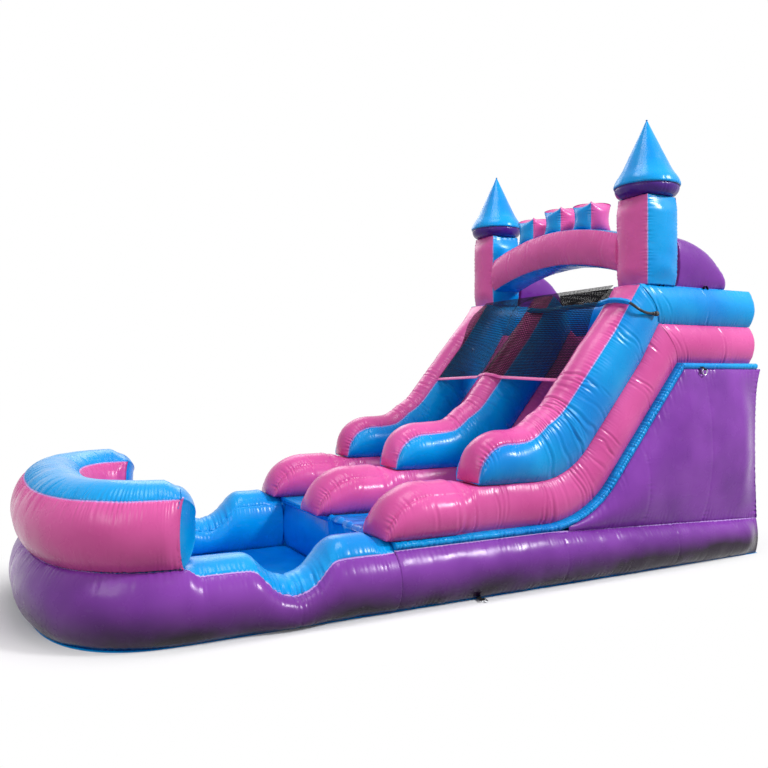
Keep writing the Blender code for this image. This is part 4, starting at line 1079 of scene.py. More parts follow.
def flat_cloth(node, inset, rear_x, z, thickness, finish, seed, ripples):
    """A flat sheet in the base's outline, each row across scaled to the outline's width there."""
    across, depth = HALF_WIDTH - inset, POOL_BEND_DEPTH - inset
    tip = POOL_BEND_X - depth
    u = np.concatenate([1 - np.cos(np.linspace(0, np.pi / 2, 40)), np.linspace(1, 2, 60)[1:]])
    x = np.where(u < 1, tip + depth * u, POOL_BEND_X + (rear_x - POOL_BEND_X) * (u - 1))
    x = np.maximum(x, tip + 0.0006)
    share = np.clip((POOL_BEND_X - x) / depth, 0, 1)
    half = across * (1 - share ** POOL_BEND_POWER) ** (1 / POOL_BEND_POWER)
    v = np.linspace(-1, 1, 70)
    grid = spots(x[:, None], half[:, None] * v, z)
    grid[..., 2] += ripples * (0.5 + 0.5 * lumps(grid, 0.14, seed)) * (1 - v ** 8)
    lay(shell(node + "_cloth", grid, thickness, (finish,)), "blue", (2 * across, rear_x - tip), "laid",
        ["ground"], area=2 * area_under(half, x))


flat_cloth("ground_sheet", 0.0, REAR_X, 0.0004, 0.003, BLUE, 2400, 0.0)
flat_cloth("pool_floor", BASE_WALL + 0.02, POOL_REAR_X + 0.03, SHEET + GAP, 0.012, SHINE_BLUE, 2450, 0.004)


# The wedge's skins and inner sheets

SIDE_SEAMS = (1.50, 2.20)
REAR_SEAMS = (-0.42, 0.42)
PANEL_EAR = 0.045
VENT_RADIUS = 0.12
VENT_Y = 0.6
VENT_Z = 0.6
CELL_EDGE = 0.3


def bed_line(x, drop):
    """Height of the line that runs drop below the bed's top, at x."""
    radius = BEND_RADIUS + drop
    bend = RUN_Z + BEND_RADIUS - np.sqrt(np.maximum(radius ** 2 - (x - BEND_X) ** 2, 1e-9))
    slope_z = DECK_Z - (MITRE_X - x) * math.tan(SLOPE) - drop / math.cos(SLOPE)
    height = np.where(x <= BEND_X + radius * math.sin(SLOPE), bend, np.minimum(slope_z, DECK_Z - drop))
    return np.where(x <= BEND_X, RUN_Z - drop, height)


def corner_line(away, t):
    """How far a rear corner leans to the rear at share t of its height: an ear above, drawn in
    below. It fades as exp of the square of the distance away from the corner."""
    lean = PANEL_EAR * t ** 9 - 0.028 * np.sin(np.pi * t) ** 0.7
    return np.exp(-(away / 0.16) ** 2)[:, None] * lean


def panel_seams(z, away_from, places, seed):
    """Upright seams in a panel: short puckers on both sides of each place."""
    return [puckers(z, np.abs(away_from - place), 0.005, 0.035, 0.034, seed + index)
            for index, place in enumerate(places)]


def side_panel(side, sign, seed):
    """The tall skin at a side of the wedge, swelling between its seams as the power 0.8 of a sine."""
    start = FOOT_X - PANEL_TIP
    x = start + (REAR_X - start) * np.linspace(0, 1, 210)
    t = eased(104)
    low, high = base_top(x) + GAP, bed_line(x, BED) - GAP
    share = (x - start) / (REAR_X - start)
    swelling = 0.095 * np.minimum(1, 3 * share) * smooth(1 - share, -0.01, 0.14)
    length = (high - low)[:, None]
    z = low[:, None] + length * t
    y = HALF_WIDTH + swelling[:, None] * np.sin(np.pi * t) ** 0.8
    room = np.clip(length / 0.35, 0, 1)
    folds = puckers(x[:, None] * 1.25, length * (1 - t), 0.010, 0.08, 0.032, seed) * room
    folds += puckers(x[:, None], length * t, 0.007, 0.08, 0.040, seed + 10) * room
    folds += puckers(z, np.abs(REAR_X - x)[:, None], 0.010, 0.09, 0.042, seed + 20)
    folds += 0.8 * sum(panel_seams(z, x[:, None], SIDE_SEAMS, seed + 30))
    grid = spots(x[:, None], sign * y, z)
    folds += 0.006 * lumps(grid, 0.17, seed + 4) * np.sin(np.pi * t)
    grid[..., 1] = sign * np.maximum(sign * (grid[..., 1] + sign * folds), HALF_WIDTH - 0.012)
    grid[..., 0] += corner_line(REAR_X - x, t)
    paint = plain(grid)
    paint[:, -2:] = 1
    piece = shell(f"side_panel_{side}_cloth", grid, -0.003 * sign, (PURPLE, LILAC), paint)
    lay(piece, "purple", (REAR_X - start, float(length.max())), "stretched",
        [f"base_tube_{side}_skin", "slide_bed_skin"], area=area_under(high - low, x))


def rear_panel():
    """The rear skin of the wedge, swelling between its seams as side_panel does."""
    u = np.linspace(-1, 1, 170)
    t = eased(92)
    low, high = BASE_REAR_HEIGHT + GAP, DECK_Z - BED - GAP
    z = low + (high - low) * t
    y = (HALF_WIDTH + 0.004) * u[:, None] + 0 * t
    swelling = 0.075 * (1 - u ** 4)[:, None] * np.sin(np.pi * t) ** 0.8
    from_corner = (1 - np.abs(u)) * HALF_WIDTH
    folds = puckers(y, high - z, 0.009, 0.09, 0.042, 2700) + puckers(y, z - low, 0.007, 0.07, 0.04, 2710)
    folds += puckers(z, from_corner[:, None], 0.009, 0.08, 0.04, 2720)
    folds += sum(panel_seams(z, y, REAR_SEAMS, 2730))
    grid = spots(REAR_X + swelling, y, z)
    folds += 0.006 * lumps(grid, 0.17, 2704) * np.sin(np.pi * t)
    grid[..., 0] = np.maximum(grid[..., 0] + folds, REAR_X - 0.010) + corner_line(from_corner, t)
    lay(shell("rear_panel_cloth", grid, -0.003, (PURPLE,)), "purple", (2 * HALF_WIDTH, high - low),
        "stretched", ["base_tube_rear_skin", "deck_bed_skin"])


for index, (side, sign) in enumerate(SIDES):
    side_panel(side, sign, 2600 + 50 * index)
rear_panel()


def baffle(node, x):
    """An inner sheet with three round vents, as three cells: each blends from its vent's circle
    out to its own part of the sheet's outline."""
    inner, outer = HALF_WIDTH - BASE_WALL - 0.002, HALF_WIDTH - 0.010
    shoulder, top = float(base_top(x)) + 0.002, float(bed_line(x, BED)) - 0.002
    foot = SHEET + 0.002
    rows, cols = 14, 96
    angle = np.linspace(0, 2 * np.pi, cols, endpoint=False)
    dy, dz = np.cos(angle), np.sin(angle)
    share = np.linspace(0, 1, rows)[:, None]
    edges = (-outer, -CELL_EDGE, CELL_EDGE, outer)
    verts, quads = [], []
    for cell, middle in enumerate((-VENT_Y, 0.0, VENT_Y)):
        span = np.where(dy > 0, (edges[cell + 1] - middle) / np.maximum(dy, 1e-6),
                        (edges[cell] - middle) / np.minimum(dy, -1e-6))
        rise = np.where(dz > 0, (top - VENT_Z) / np.maximum(dz, 1e-6),
                        (foot - VENT_Z) / np.minimum(dz, -1e-6))
        out = np.minimum(span, rise)
        y, z = middle + dy * out, VENT_Z + dz * out
        y = np.where((z < shoulder) & (np.abs(y) > inner), np.sign(y) * inner, y)
        ys = (middle + VENT_RADIUS * dy) * (1 - share) + y * share
        zs = (VENT_Z + VENT_RADIUS * dz) * (1 - share) + z * share
        grid = spots(x + 0.004 * lumps(spots(0 * ys, ys, zs), 0.2, 2760 + cell), ys, zs)
        quads.append(grid_quads(rows, cols, False, True) + cell * rows * cols)
        verts.append(grid.reshape(-1, 3))
    verts, quads = np.concatenate(verts), np.concatenate(quads)
    piece = make_piece(node + "_cloth", verts, quads, (PURPLE,), np.zeros(len(quads), int))
    area = 2 * (outer * (top - shoulder) + inner * (shoulder - foot)) - 3 * np.pi * VENT_RADIUS ** 2
    lay(piece, "purple", (2 * outer, top - foot), "stretched", ["ground_sheet_cloth"], area=float(area))


baffle("baffle_front", MITRE_X - 0.45)
baffle("baffle_rear", MITRE_X + 0.40)


def slip_sheet():
    """The loose wet sheet down the slide lane: up the run-out's front, then along the bed.

    It lifts off the bed in long waves and short bumps, more on its hanging end."""
    x, z, angle = bed_place(np.arange(POOL_REAR_X - BEND_X, SLOPE_RUN - 0.02, 0.012))
    x, z = x - np.sin(angle) * 0.0045, z + np.cos(angle) * 0.0045
    inner, outer = LANE_INNER + 0.012, LANE_OUTER - 0.012
    hang = np.linspace(FLOOR_TOP + 0.004, RUN_Z - 0.015, 40)
    turn = np.linspace(0, np.pi / 2, 8)
    x = np.concatenate([np.full(len(hang), POOL_REAR_X - 0.012), POOL_REAR_X + 0.008 - 0.02 * np.cos(turn),
                        x[2:]])
    z = np.concatenate([hang, RUN_Z - 0.0155 + 0.02 * np.sin(turn), z[2:]])
    angle = np.concatenate([np.full(len(hang), np.pi / 2), np.pi / 2 - turn, angle[2:]])[:, None]
    y = np.linspace(-outer, -inner, 70)
    run = run_along(np.stack([x, z], -1))[:, None]
    grid = spots(x[:, None], y, z[:, None])
    wave = 0.5 + 0.5 * lumps(spots(run * 0.5, y * 2.2, 0), 0.11, 2801)
    wave = wave + 0.6 * np.clip(lumps(spots(run, y, 0), 0.06, 2802), 0, 1)
    lift = 0.010 * wave * (1 + 1.2 * (run < 0.45))
    grid[..., 0] -= np.sin(angle) * lift
    grid[..., 2] += np.cos(angle) * lift
    lay(shell("slip_sheet_cloth", grid, 0.0015, (SHINE_BLUE,)), "blue", (outer - inner, float(run[-1, 0])),
        "laid", ["slide_bed_skin"])


slip_sheet()


# Castle

ROOF_SEAM = 0.085
ROOF_FOOT = 0.155
ROOF_ROWS = 26
GORES = 8
MERLON_POINT = 0.016
FIN_SAG = 0.04


def tower(side, y, seed):
    """A square tower with swelling faces, pinched at the seams round both ends."""
    z = np.linspace(RAIL_TOP + GAP, TOWER_TOP, 110)
    ends = np.minimum(z - z[0], z[-1] - z)
    half = TOWER_HALF - 0.008 + 0.008 * smooth(ends, 0, 0.12)
    section = square_section(half, 0.010 + 0.026 * smooth(ends, 0, 0.15), 26)
    grid = spots(TOWER_X + section.points[..., 0], y + section.points[..., 1], z[:, None])
    along, across = lengths(grid)
    folds = seam_folds(section, along, (0.005,) * 4, seed, 0.045, 0.032)
    folds += end_puckers(along, across, 0.006, 0.05, 0.03, seed + 40)
    folds += 0.0025 * lumps(grid, 0.09, seed + 4)
    paint = paint_panels(section, (0, 1, 0, 1), range(4))
    grid, paint = with_ends(swell(grid, folds), paint, (None, 0.004), 1, 6, seed=seed, folds=0.0)
    chamber_skin(f"tower_{side}", grid, CASTLE, paint)


def roof(side, y, seed):
    """A cone turned from a profile: a rounded purple underside, a seam, then eight blue gores."""
    base = TOWER_TOP + GAP
    turn = np.linspace(0, 1, ROOF_ROWS)[:, None] * np.pi / 2
    rim = ROOF_RADIUS - 0.012
    low = np.concatenate([ROOF_FOOT + (rim - ROOF_FOOT) * np.sin(turn) ** 0.8,
                          ROOF_SEAM * (1 - np.cos(turn))], 1)
    t = np.linspace(0.006, 1, 115)[:, None]
    shoulder = 0.016 * np.exp(-((t - 0.10) / 0.10) ** 2) - 0.012 * np.exp(-(t / 0.02) ** 2)
    high = np.concatenate([(ROOF_RADIUS - 0.002) * (1 - t) + shoulder,
                           ROOF_SEAM + (ROOF_HEIGHT - ROOF_SEAM) * t], 1)
    tip = high[-1, 1]
    profile = np.concatenate([low, [[rim - 0.006, ROOF_SEAM + 0.003]], high[:-1],
                              [[0.010, tip - 0.010], [0.006, tip - 0.003]]])
    count = 168
    angle = np.linspace(0, 2 * np.pi, count, endpoint=False)
    radius, z = profile[:, :1], base + profile[:, 1:]
    grid = spots(TOWER_X + radius * np.cos(angle), y + radius * np.sin(angle), z)
    gore = np.abs((angle / (2 * np.pi) * GORES + 0.35) % 1 - 0.5) * 2
    blue = (np.arange(len(profile)) > ROOF_ROWS)[:, None]
    folds = puckers(profile[:, 1:], (1 - gore) * radius * np.pi / 8, 0.001, 0.02, 0.03, seed)
    folds = blue * (folds - 0.001 * (1 - gore) ** 3)
    round_rim = angle[None] * ROOF_RADIUS
    folds += puckers(round_rim, np.abs(z - base - ROOF_SEAM), 0.006, 0.05, 0.026, seed + 10)
    folds += puckers(round_rim, np.abs(radius - ROOF_FOOT), 0.006, 0.05, 0.03, seed + 20) * (1 - blue)
    folds += 0.002 * lumps(grid, 0.08, seed + 4)
    grid = swell(grid, folds * np.clip(radius / 0.06, 0, 1))
    chamber_skin(f"roof_{side}", grid, (BAND, BLUE), np.repeat(blue.astype(int), count, 1))


def arch_top(y):
    """Height of the arch's top: a parabola between the towers."""
    span = WALL_Y - TOWER_HALF - TOWER_BULGE
    return RAIL_TOP + ARCH_LIFT + ARCH_THICK + ARCH_RISE * (1 - (y / span) ** 2)


def arch():
    """The bridge between the towers: pink faces, blue on top and underneath."""
    reach = WALL_Y - TOWER_HALF + 0.004
    y = np.linspace(-reach, reach, 210)[:, None]
    section = box_section(np.full(len(y), ARCH_DEPTH / 2 - 0.008), ARCH_THICK, (0.036, 0.008, 0.036, 0.012),
                          (26, 20, 26, 20))
    grid = spots(TOWER_X + section.points[..., 0], y, arch_top(y) - ARCH_THICK + section.points[..., 1])
    along, across = lengths(grid)
    folds = seam_folds(section, along, (0.007, 0.006, 0.006, 0.007), 3200, 0.06, 0.033)
    folds += end_puckers(along, across, 0.008, 0.06, 0.034, 3240)
    folds += creases(along, across, [0.16, 0.60, 1.20, 1.50], 0.003, 0.009, 3250)
    folds += 0.003 * lumps(grid, 0.16, 3204)
    paint = paint_panels(section, (0, 1, 0, 1), range(4))
    chamber_skin("arch", swell(grid, folds), CASTLE, paint)


def merlon(number, y, seed):
    """A blown-up cube on the arch: faces swell, and edges draw in between pointed corners."""
    level = np.linspace(-1, 1, 60)
    half = MERLON / 2 * (1.03 - 0.13 * (1 - level ** 2))
    section = square_section(half, -0.012 + 0.048 * (1 - level ** 4), 22)
    px, py = section.points[..., 0], section.points[..., 1]
    low, high = arch_top(y + py) + 0.002, arch_top(y) + MERLON_HEIGHT - 0.004
    z = low + (high - low) * (level[:, None] + 1) / 2
    corner = np.clip(np.abs(px * py) / half[:, None] ** 2, 0, 1) ** 1.6
    z += MERLON_POINT * corner * smooth(level, 0.2, 1)[:, None]
    grid = spots(TOWER_X + px, y + py, z)
    along, across = lengths(grid)
    folds = seam_folds(section, along, (0.004,) * 4, seed, 0.03, 0.026)
    folds += puckers(across, along[-1] - along, 0.005, 0.035, 0.026, seed + 40)
    folds += puckers(across, along, 0.004, 0.03, 0.026, seed + 45)
    paint = paint_panels(section, (1, 0, 1, 0), range(4), 0.001)
    grid, paint = with_ends(swell(grid, folds), paint, (None, 0.032), 0, 14, PIPING_FINISH, seed)
    chamber_skin(f"merlon_{number}", grid, CASTLE, paint)


def fin(side, y, seed):
    """A quarter-round buttress on the rail behind a tower: its height falls as a cosine."""
    start = TOWER_X + TOWER_HALF + TOWER_BULGE + GAP
    t = np.linspace(0, math.radians(87), 90)
    height = (FIN_HEIGHT - FIN_SAG) * np.cos(t)
    share = smooth(height, 0.0, 0.22) * 0.85 + 0.15
    crown = 0.05 * share * np.clip(height / 0.06, 0, 1)
    section = box_section(FIN_HALF * (0.72 + 0.28 * share), height - crown,
                          (0.034 * share, crown, 0.034 * share, 0), (24, 20, 24, 10))
    x = start + FIN_LENGTH * np.sin(t)
    grid = spots(x[:, None], y + section.points[..., 0], RAIL_TOP + GAP + section.points[..., 1])
    along, across = lengths(grid)
    folds = seam_folds(section, along, (0.005, 0.006, 0.006, 0.005), seed, 0.05, 0.032)
    folds += puckers(across, along, 0.005, 0.045, 0.03, seed + 40)
    folds += 0.003 * lumps(grid, 0.12, seed + 4)
    grid = swell(grid, calmed(section, folds) * np.clip(height / 0.1, 0, 1)[:, None])
    chamber_skin(f"fin_{side}", grid, (PURPLE,), plain(grid))


for index, (side, sign) in enumerate(SIDES):
    tower(side, sign * WALL_Y, 3000 + 50 * index)
    roof(side, sign * WALL_Y, 3100 + 40 * index)
    fin(side, sign * WALL_Y, 3400 + 60 * index)
arch()
for number in (1, 2, 3):
    merlon(number, (number - 2) * MERLON_PITCH, 3300 + 60 * number)


# Climbing lane

STITCH_ROWS = (4, 8, 51, 55)


def climb_step(number):
    """A half-round bolster across the climbing lane, sewn to the bed along both sides."""
    back = STEP_TOP_BACK + STEP_PITCH * (number - 1)
    seed = 3600 + 40 * number
    y = np.linspace(LANE_INNER + 0.020, LANE_OUTER - 0.020, 90)[:, None]
    angle = np.linspace(0, np.pi, 40)
    outline = np.concatenate([
        np.stack([STEP_REACH * np.cos(angle), GAP + STEP_HEIGHT * np.sin(angle)], -1),
        np.stack([np.linspace(-STEP_REACH, STEP_REACH, 12)[1:-1], np.full(10, GAP)], -1)])
    x, z = slope_point(back + outline[:, 0], outline[:, 1])
    grid = spots(x, y, z)
    along, across = lengths(grid)
    from_seam = np.minimum(across, np.abs(across - across[0, len(angle) - 1]))
    folds = puckers(along, from_seam, 0.005, 0.04, 0.03, seed)
    folds += end_puckers(along, across, 0.004, 0.035, 0.028, seed + 10)
    grid = swell(grid, np.where(np.arange(len(outline)) >= len(angle), 0, folds))
    grid, paint = with_ends(grid, plain(grid), (0.014, 0.014), 0, 8, seed=seed)
    chamber_skin(f"climb_step_{number}", grid, (BLUE,), paint)


def strap_grid(middles, width):
    """A strap's rows of points: its middle line, spread to both sides along y."""
    return middles[:, None] + np.linspace(-0.5, 0.5, 9)[:, None] * width * np.array([0.0, 1.0, 0.0])


def climb_handle(number):
    """A webbing handle: its ends lie on the bed and its middle rises as a squared cosine."""
    along = np.linspace(-1, 1, 60)
    rise = HANDLE_RISE * np.cos(np.clip(along * 1.3, -1, 1) * np.pi / 2) ** 2
    y = (LANE_INNER + LANE_OUTER) / 2 + (-1, 1)[number - 1] * 0.16
    x, z = slope_point(STEP_TOP_BACK + STEP_PITCH * 1.5 + along * HANDLE_LENGTH / 2, 0.0008 + rise)
    grid = strap_grid(spots(x, y, z), WEBBING)
    paint = plain(grid)
    paint[STITCH_ROWS, 1:-2] = 1
    piece = shell(f"climb_handle_{number}_strap", grid, STRAP * 0.8, (STRAPS, STITCH), paint)
    stand_for(piece)


for number in range(1, STEPS + 1):
    climb_step(number)
for number in (1, 2):
    climb_handle(number)


# Nets

NET_PITCH = 0.017
NET_STRAND = 0.0064
NET_UP = 0.09
NET_THICK = 0.0008
NET_LOW = NET_LOW_BACK - NET_UP
NET_LENGTH = NET_LOW - NET_TOP_BACK
NET_REACH = WALL_Y - WALL_HALF
NET_CREST = 0.035
REAR_NET_X = RAIL_END - 2 * WALL_HALF - WALL_BULGE + 0.02
REAR_NET_REACH = WALL_Y - FIN_HALF - 0.03


def net_height(y, back):
    """How far over the bed the net lies: on the walls' tops, over the hose, then up to the arch."""
    inner = LOWER_HEIGHT + UPPER_HEIGHT + 2 * GAP
    knots_y = [0, 0.76 * WALL_HALF, 1.2 * WALL_HALF, NET_REACH]
    knots_h = [inner + UPPER_CROWN + 0.0037, inner + 0.80 * UPPER_CROWN, inner + 0.48 * UPPER_CROWN,
               inner + 0.0028]
    resting = np.interp(np.abs(y), knots_y, knots_h)
    over_hose = resting + 2 * SLEEVE_RADIUS + NET_OVER_HOSE
    climbed = np.clip((-NET_CREST - back) / (-NET_CREST - NET_TOP_BACK), 0, 1)
    rising = over_hose + (NET_TOP_UP - over_hose) * climbed
    falling = over_hose + (resting - over_hose) * smooth(back, NET_CREST, 0.36)
    return np.where(back < -NET_CREST, rising, falling)


def strands(node, place, lengths_of, pitch, width, rests_on):
    """A net: flat strands one pitch apart along both of its directions, one layer over the other.

    place(u, v) gives the net's points for shares u and v. Each strand is a strip with four long
    faces, closed at its ends."""
    verts, quads = [], []
    total = 0.0
    offset = 0
    tiny = 1e-3
    for layer in (0, 1):
        lines, steps = (int(round(lengths_of[k] / pitch)) + 1 for k in (1 - layer, layer))
        line, step = np.meshgrid(np.linspace(0, 1, lines), np.linspace(0, 1, steps), indexing="ij")
        u, v = (line, step) if layer else (step, line)
        du = place(np.minimum(u + tiny, 1), v) - place(np.maximum(u - tiny, 0), v)
        dv = place(u, np.minimum(v + tiny, 1)) - place(u, np.maximum(v - tiny, 0))
        normal = np.cross(du, dv)
        normal /= np.linalg.norm(normal, axis=-1)[..., None]
        across = du if layer else dv
        across = across / np.linalg.norm(across, axis=-1)[..., None]
        middle = place(u, v) + normal * NET_THICK * layer
        ring = [middle + across * a * width / 2 + normal * b * NET_THICK / 2
                for a, b in ((1, -1), (1, 1), (-1, 1), (-1, -1))]
        total += float(np.linalg.norm(np.diff(middle, axis=1), axis=-1).sum())
        index = np.arange(lines * steps * 4).reshape(lines, steps, 4) + offset
        over = np.roll(index, -1, 2)
        faces = np.stack([index[:, :-1], over[:, :-1], over[:, 1:], index[:, 1:]], -1)
        quads += [faces.reshape(-1, 4), index[:, 0, ::-1], index[:, -1]]
        verts.append(np.stack(ring, 2).reshape(-1, 3))
        offset += lines * steps * 4
    verts, quads = np.concatenate(verts), np.concatenate(quads)
    piece = make_piece(node + "_mesh", verts, quads, (NET,), np.zeros(len(quads), int))
    area = min(total * (width + NET_THICK), lengths_of[0] * lengths_of[1])
    lay(piece, "net", lengths_of, "stretched", rests_on, area=area)


def over_lanes(u, v):
    """The front net, u from its lower edge up to the arch and v across the lanes."""
    y = NET_REACH * (2 * v - 1)
    back = NET_LOW - NET_LENGTH * u
    x, z = slope_point(back, net_height(y, back) + 0.004)
    return spots(x, y, z)


def over_back(u, v):
    """The rear net, u up from the back wall and v across it."""
    return spots(REAR_NET_X, REAR_NET_REACH * (2 * v - 1), RAIL_TOP + 0.003 + REAR_NET_HEIGHT * u)


strands("front_net", over_lanes, (NET_LENGTH, 2 * NET_REACH), NET_PITCH, NET_STRAND,
        ["wall_near_upper_skin", "wall_middle_upper_skin", "wall_far_upper_skin", "arch_skin"])
strands("rear_net", over_back, (REAR_NET_HEIGHT, 2 * REAR_NET_REACH), 0.8 * NET_PITCH, 1.4 * NET_STRAND,
        ["back_wall_upper_skin", "fin_near_skin", "fin_far_skin"])


def net_binding():
    """The pink strip folded over the net's lower edge as a flat ellipse, puckered along its
    stitching by a cosine."""
    y = np.linspace(-NET_REACH, NET_REACH, 300)[:, None]
    up = net_height(y, NET_LOW) + 0.004
    turn = np.linspace(0, 2 * np.pi, 20, endpoint=False)
    pucker = 0.0015 * np.cos(2 * np.pi * y / 0.017 + 2 * ripple(y, 0.05, 3801))
    x, z = slope_point(NET_LOW + (0.017 + 0.0165 * np.cos(turn)), up + 0.0045 * np.sin(turn) + pucker)
    lay(skin("net_binding_strip", spots(x, y, z), (PINK,)), "pink", (0.036, 2 * NET_REACH), "stretched",
        ["front_net_mesh"])


net_binding()


# Hose and its coupling

HOSE_BACK = 0.55
NUT_START = 0.0275
NUT_RIBS = 24
NUT_RIB = 0.0013


def round_wire(path, radius, count, side, up):
    """Rings of points round a path, on two unit vectors square to it."""
    t = np.linspace(0, 2 * np.pi, count, endpoint=False)
    circle = np.cos(t)[None, :, None] * side[:, None] + np.sin(t)[None, :, None] * up
    return path[:, None] + radius * circle


def tube_grid(path, radius, count):
    """Rings of points round a path, on unit vectors carried along it without twist."""
    tangents = np.gradient(path, axis=0)
    tangents /= np.linalg.norm(tangents, axis=1)[:, None]
    side = np.cross(tangents[0], (0.3, 0.2, 1.0))
    sides = []
    for tangent in tangents:
        side = side - tangent * side.dot(tangent)
        side /= np.linalg.norm(side)
        sides.append(side)
    sides = np.array(sides)
    return round_wire(path, radius, count, sides, np.cross(tangents, sides)[:, None])


def smooth_path(points, count):
    """An even count of points on a Catmull-Rom curve through the given ones."""
    points = np.asarray(points, float)
    ends = np.vstack([2 * points[0] - points[1], points, 2 * points[-1] - points[-2]])
    t = np.linspace(0, 1, 20, endpoint=False)[:, None]
    dense = [0.5 * (2 * b + (c - a) * t + (2 * a - 5 * b + 4 * c - d) * t ** 2
                    + (3 * b - a - 3 * c + d) * t ** 3)
             for a, b, c, d in zip(ends, ends[1:], ends[2:], ends[3:])]
    return evenly(np.vstack(dense + [points[-1:]]), count)


def wall_top_point(y, across, share, lift):
    """A point lift off a wall's top tube, share of the way from its last square ring to its mitre.

    It repeats the frame's own ring of thirteen points, so the hose lies where the frame has it."""
    rings = []
    for height, bulge, crown in ((UPPER_HEIGHT, WALL_BULGE + 0.005, UPPER_CROWN),
                                 (TOP_HEIGHTS[1], WALL_BULGE, 0.004)):
        seams = np.array([[WALL_HALF, 0], [WALL_HALF, height], [-WALL_HALF, height], [-WALL_HALF, 0]])
        parts = [bowed(seams[k], seams[k + 1], np.array(rise), np.linspace(0, 1, 5))
                 for k, rise in enumerate((bulge, crown, bulge))]
        rings.append(np.vstack([parts[0], parts[1][1:], parts[2][1:]]))
    first = stand(np.array([SLOPE_RUN - MITRE_BACK]), rings[0][None], y, LOWER_HEIGHT + 2 * GAP)[0]
    level = (1.002 + rings[1][:, 1] / RAIL_HEIGHT) / 2
    last = spots(MITRE_X - GAP - MITRE_RUN * level, y + rings[1][:, 0],
                 DECK_Z + GAP + 2 * RAIL_HEIGHT * level)
    ring = first * (1 - share) + last * share
    middle = ring.mean(0)
    index = int(np.argmin(np.abs(ring[:, 1] - (y + across)) - (ring[:, 2] - middle[2]) * 0.4))
    away = ring[index] - middle
    tangent = last.mean(0) - first.mean(0)
    tangent /= np.linalg.norm(tangent)
    away -= tangent * away.dot(tangent)
    return ring[index] + away / np.linalg.norm(away) * lift


def hose_route():
    """From the middle wall's crest across the slide lane, over the near wall and down its side."""
    lift = SLEEVE_RADIUS + HOSE_SEAT + HOSE_LIFT * WALL_HALF
    rise = np.array([0, 0, HOSE_RISE])
    places = (WALL_HALF, WALL_HALF / 2, 0.0, -WALL_HALF / 2, -WALL_HALF)
    middle = [wall_top_point(0.0, across, HOSE_BACK, lift) for across in places[2:]]
    near = [wall_top_point(-WALL_Y, across, HOSE_BACK, lift) for across in places]
    beside = np.array([0, 0.09, 0])
    over = [near[0] + rise] + near[1:]
    lane = middle[:2] + [middle[2] + rise, middle[2] + rise - beside, (middle[2] + near[0]) / 2 + rise,
                         over[0] + beside]
    outer = -WALL_Y - WALL_HALF - WALL_BULGE
    down = [np.array([over[-1][0] + ahead, outer - out, over[-1][2] - drop])
            for ahead, out, drop in ((0.05, 0.022, 0.05), (0.12, 0.026, 0.075), (0.19, 0.026, 0.080))]
    return lane, over, down


def turned(name, profile, origin, count, body="root"):
    """A closed profile of (along x, radius) turned about a line through origin along x.

    Ribs are cut in the nut's own radius: the square of a raised cosine round it."""
    t = np.linspace(0, 2 * np.pi, count, endpoint=False)
    x, r = np.asarray(profile, float).T[..., None]
    rib = NUT_RIB * (0.5 + 0.5 * np.cos(NUT_RIBS * t)) ** 2
    radius = r - rib * (r >= NUT_RADIUS - 0.0005)
    grid = spots(origin[0] + x, origin[1] + radius * np.cos(t), origin[2] + radius * np.sin(t))
    stand_for(skin(name, grid, (PLASTIC,), wrap_rows=True, body=body))


def water_line():
    """The spray hose, the cloth sleeve round it, its fitting and the swivel nut."""
    lane, over, down = hose_route()
    path = smooth_path(lane + over + down, 240)
    stand_for(skin("water_hose_tube", tube_grid(path, HOSE_RADIUS, 20), (HOSE,)))
    covered = int(np.argmax(path[:, 1] < over[-1][1]))
    sleeve_path = smooth_path(path[:covered], 330)
    run = run_along(sleeve_path)[:, None]
    length = float(run[-1, 0])
    turn = np.linspace(0, 2 * np.pi, 36, endpoint=False)
    grid = tube_grid(sleeve_path, SLEEVE_RADIUS, 36)
    folds = 0.0035 * lumps(grid, 0.022, 3901) + 0.0016 * np.cos(5 * turn + 3 * ripple(run, 0.08, 3902))
    folds = folds - 0.005 * np.exp(-(np.minimum(run, length - run) / 0.012) ** 2)
    lay(skin("hose_sleeve_cloth", swell(grid, folds), (BLUE,)), "blue",
        (2 * np.pi * SLEEVE_RADIUS, length), "gathered",
        ["wall_near_upper_skin", "wall_middle_upper_skin"], area=0.55 * 2 * np.pi * SLEEVE_RADIUS * length)
    tip = down[-1] + np.array([GAP, 0, 0])
    turned("hose_fitting_body",
           [(0.0, 0.004), (0.0, 0.0128), (0.0012, 0.014), (0.0225, 0.014), (0.024, 0.0128), (0.026, 0.0095),
            (0.034, 0.0095), (0.034, 0.0112), (0.0346, 0.0118), (0.0364, 0.0118), (0.037, 0.0112),
            (0.037, 0.004)], tip, 48)
    nut = [(0, 0.0100), (0, NUT_RADIUS - 0.0032), (0.0010, NUT_RADIUS - 0.0022), (0.003, NUT_RADIUS),
           (NUT_LENGTH - 0.004, NUT_RADIUS), (NUT_LENGTH - 0.001, NUT_RADIUS - 0.0012),
           (NUT_LENGTH, NUT_RADIUS - 0.0026), (NUT_LENGTH, 0.0124), (0.0055, 0.0124), (0.0055, 0.0100)]
    turned("hose_coupling_nut", np.array(nut) + [NUT_START, 0], tip, 192, "coupling_nut")


water_line()


# Blower sleeve, webbing and rings

STITCHED = slice(2, -3)
TAB_STITCH_ROWS = (6, 7, 20, 21)
HEM_ROWS = slice(54, 66)
LOOP_PLACES = (TOWER_X, TOWER_X + 0.52)


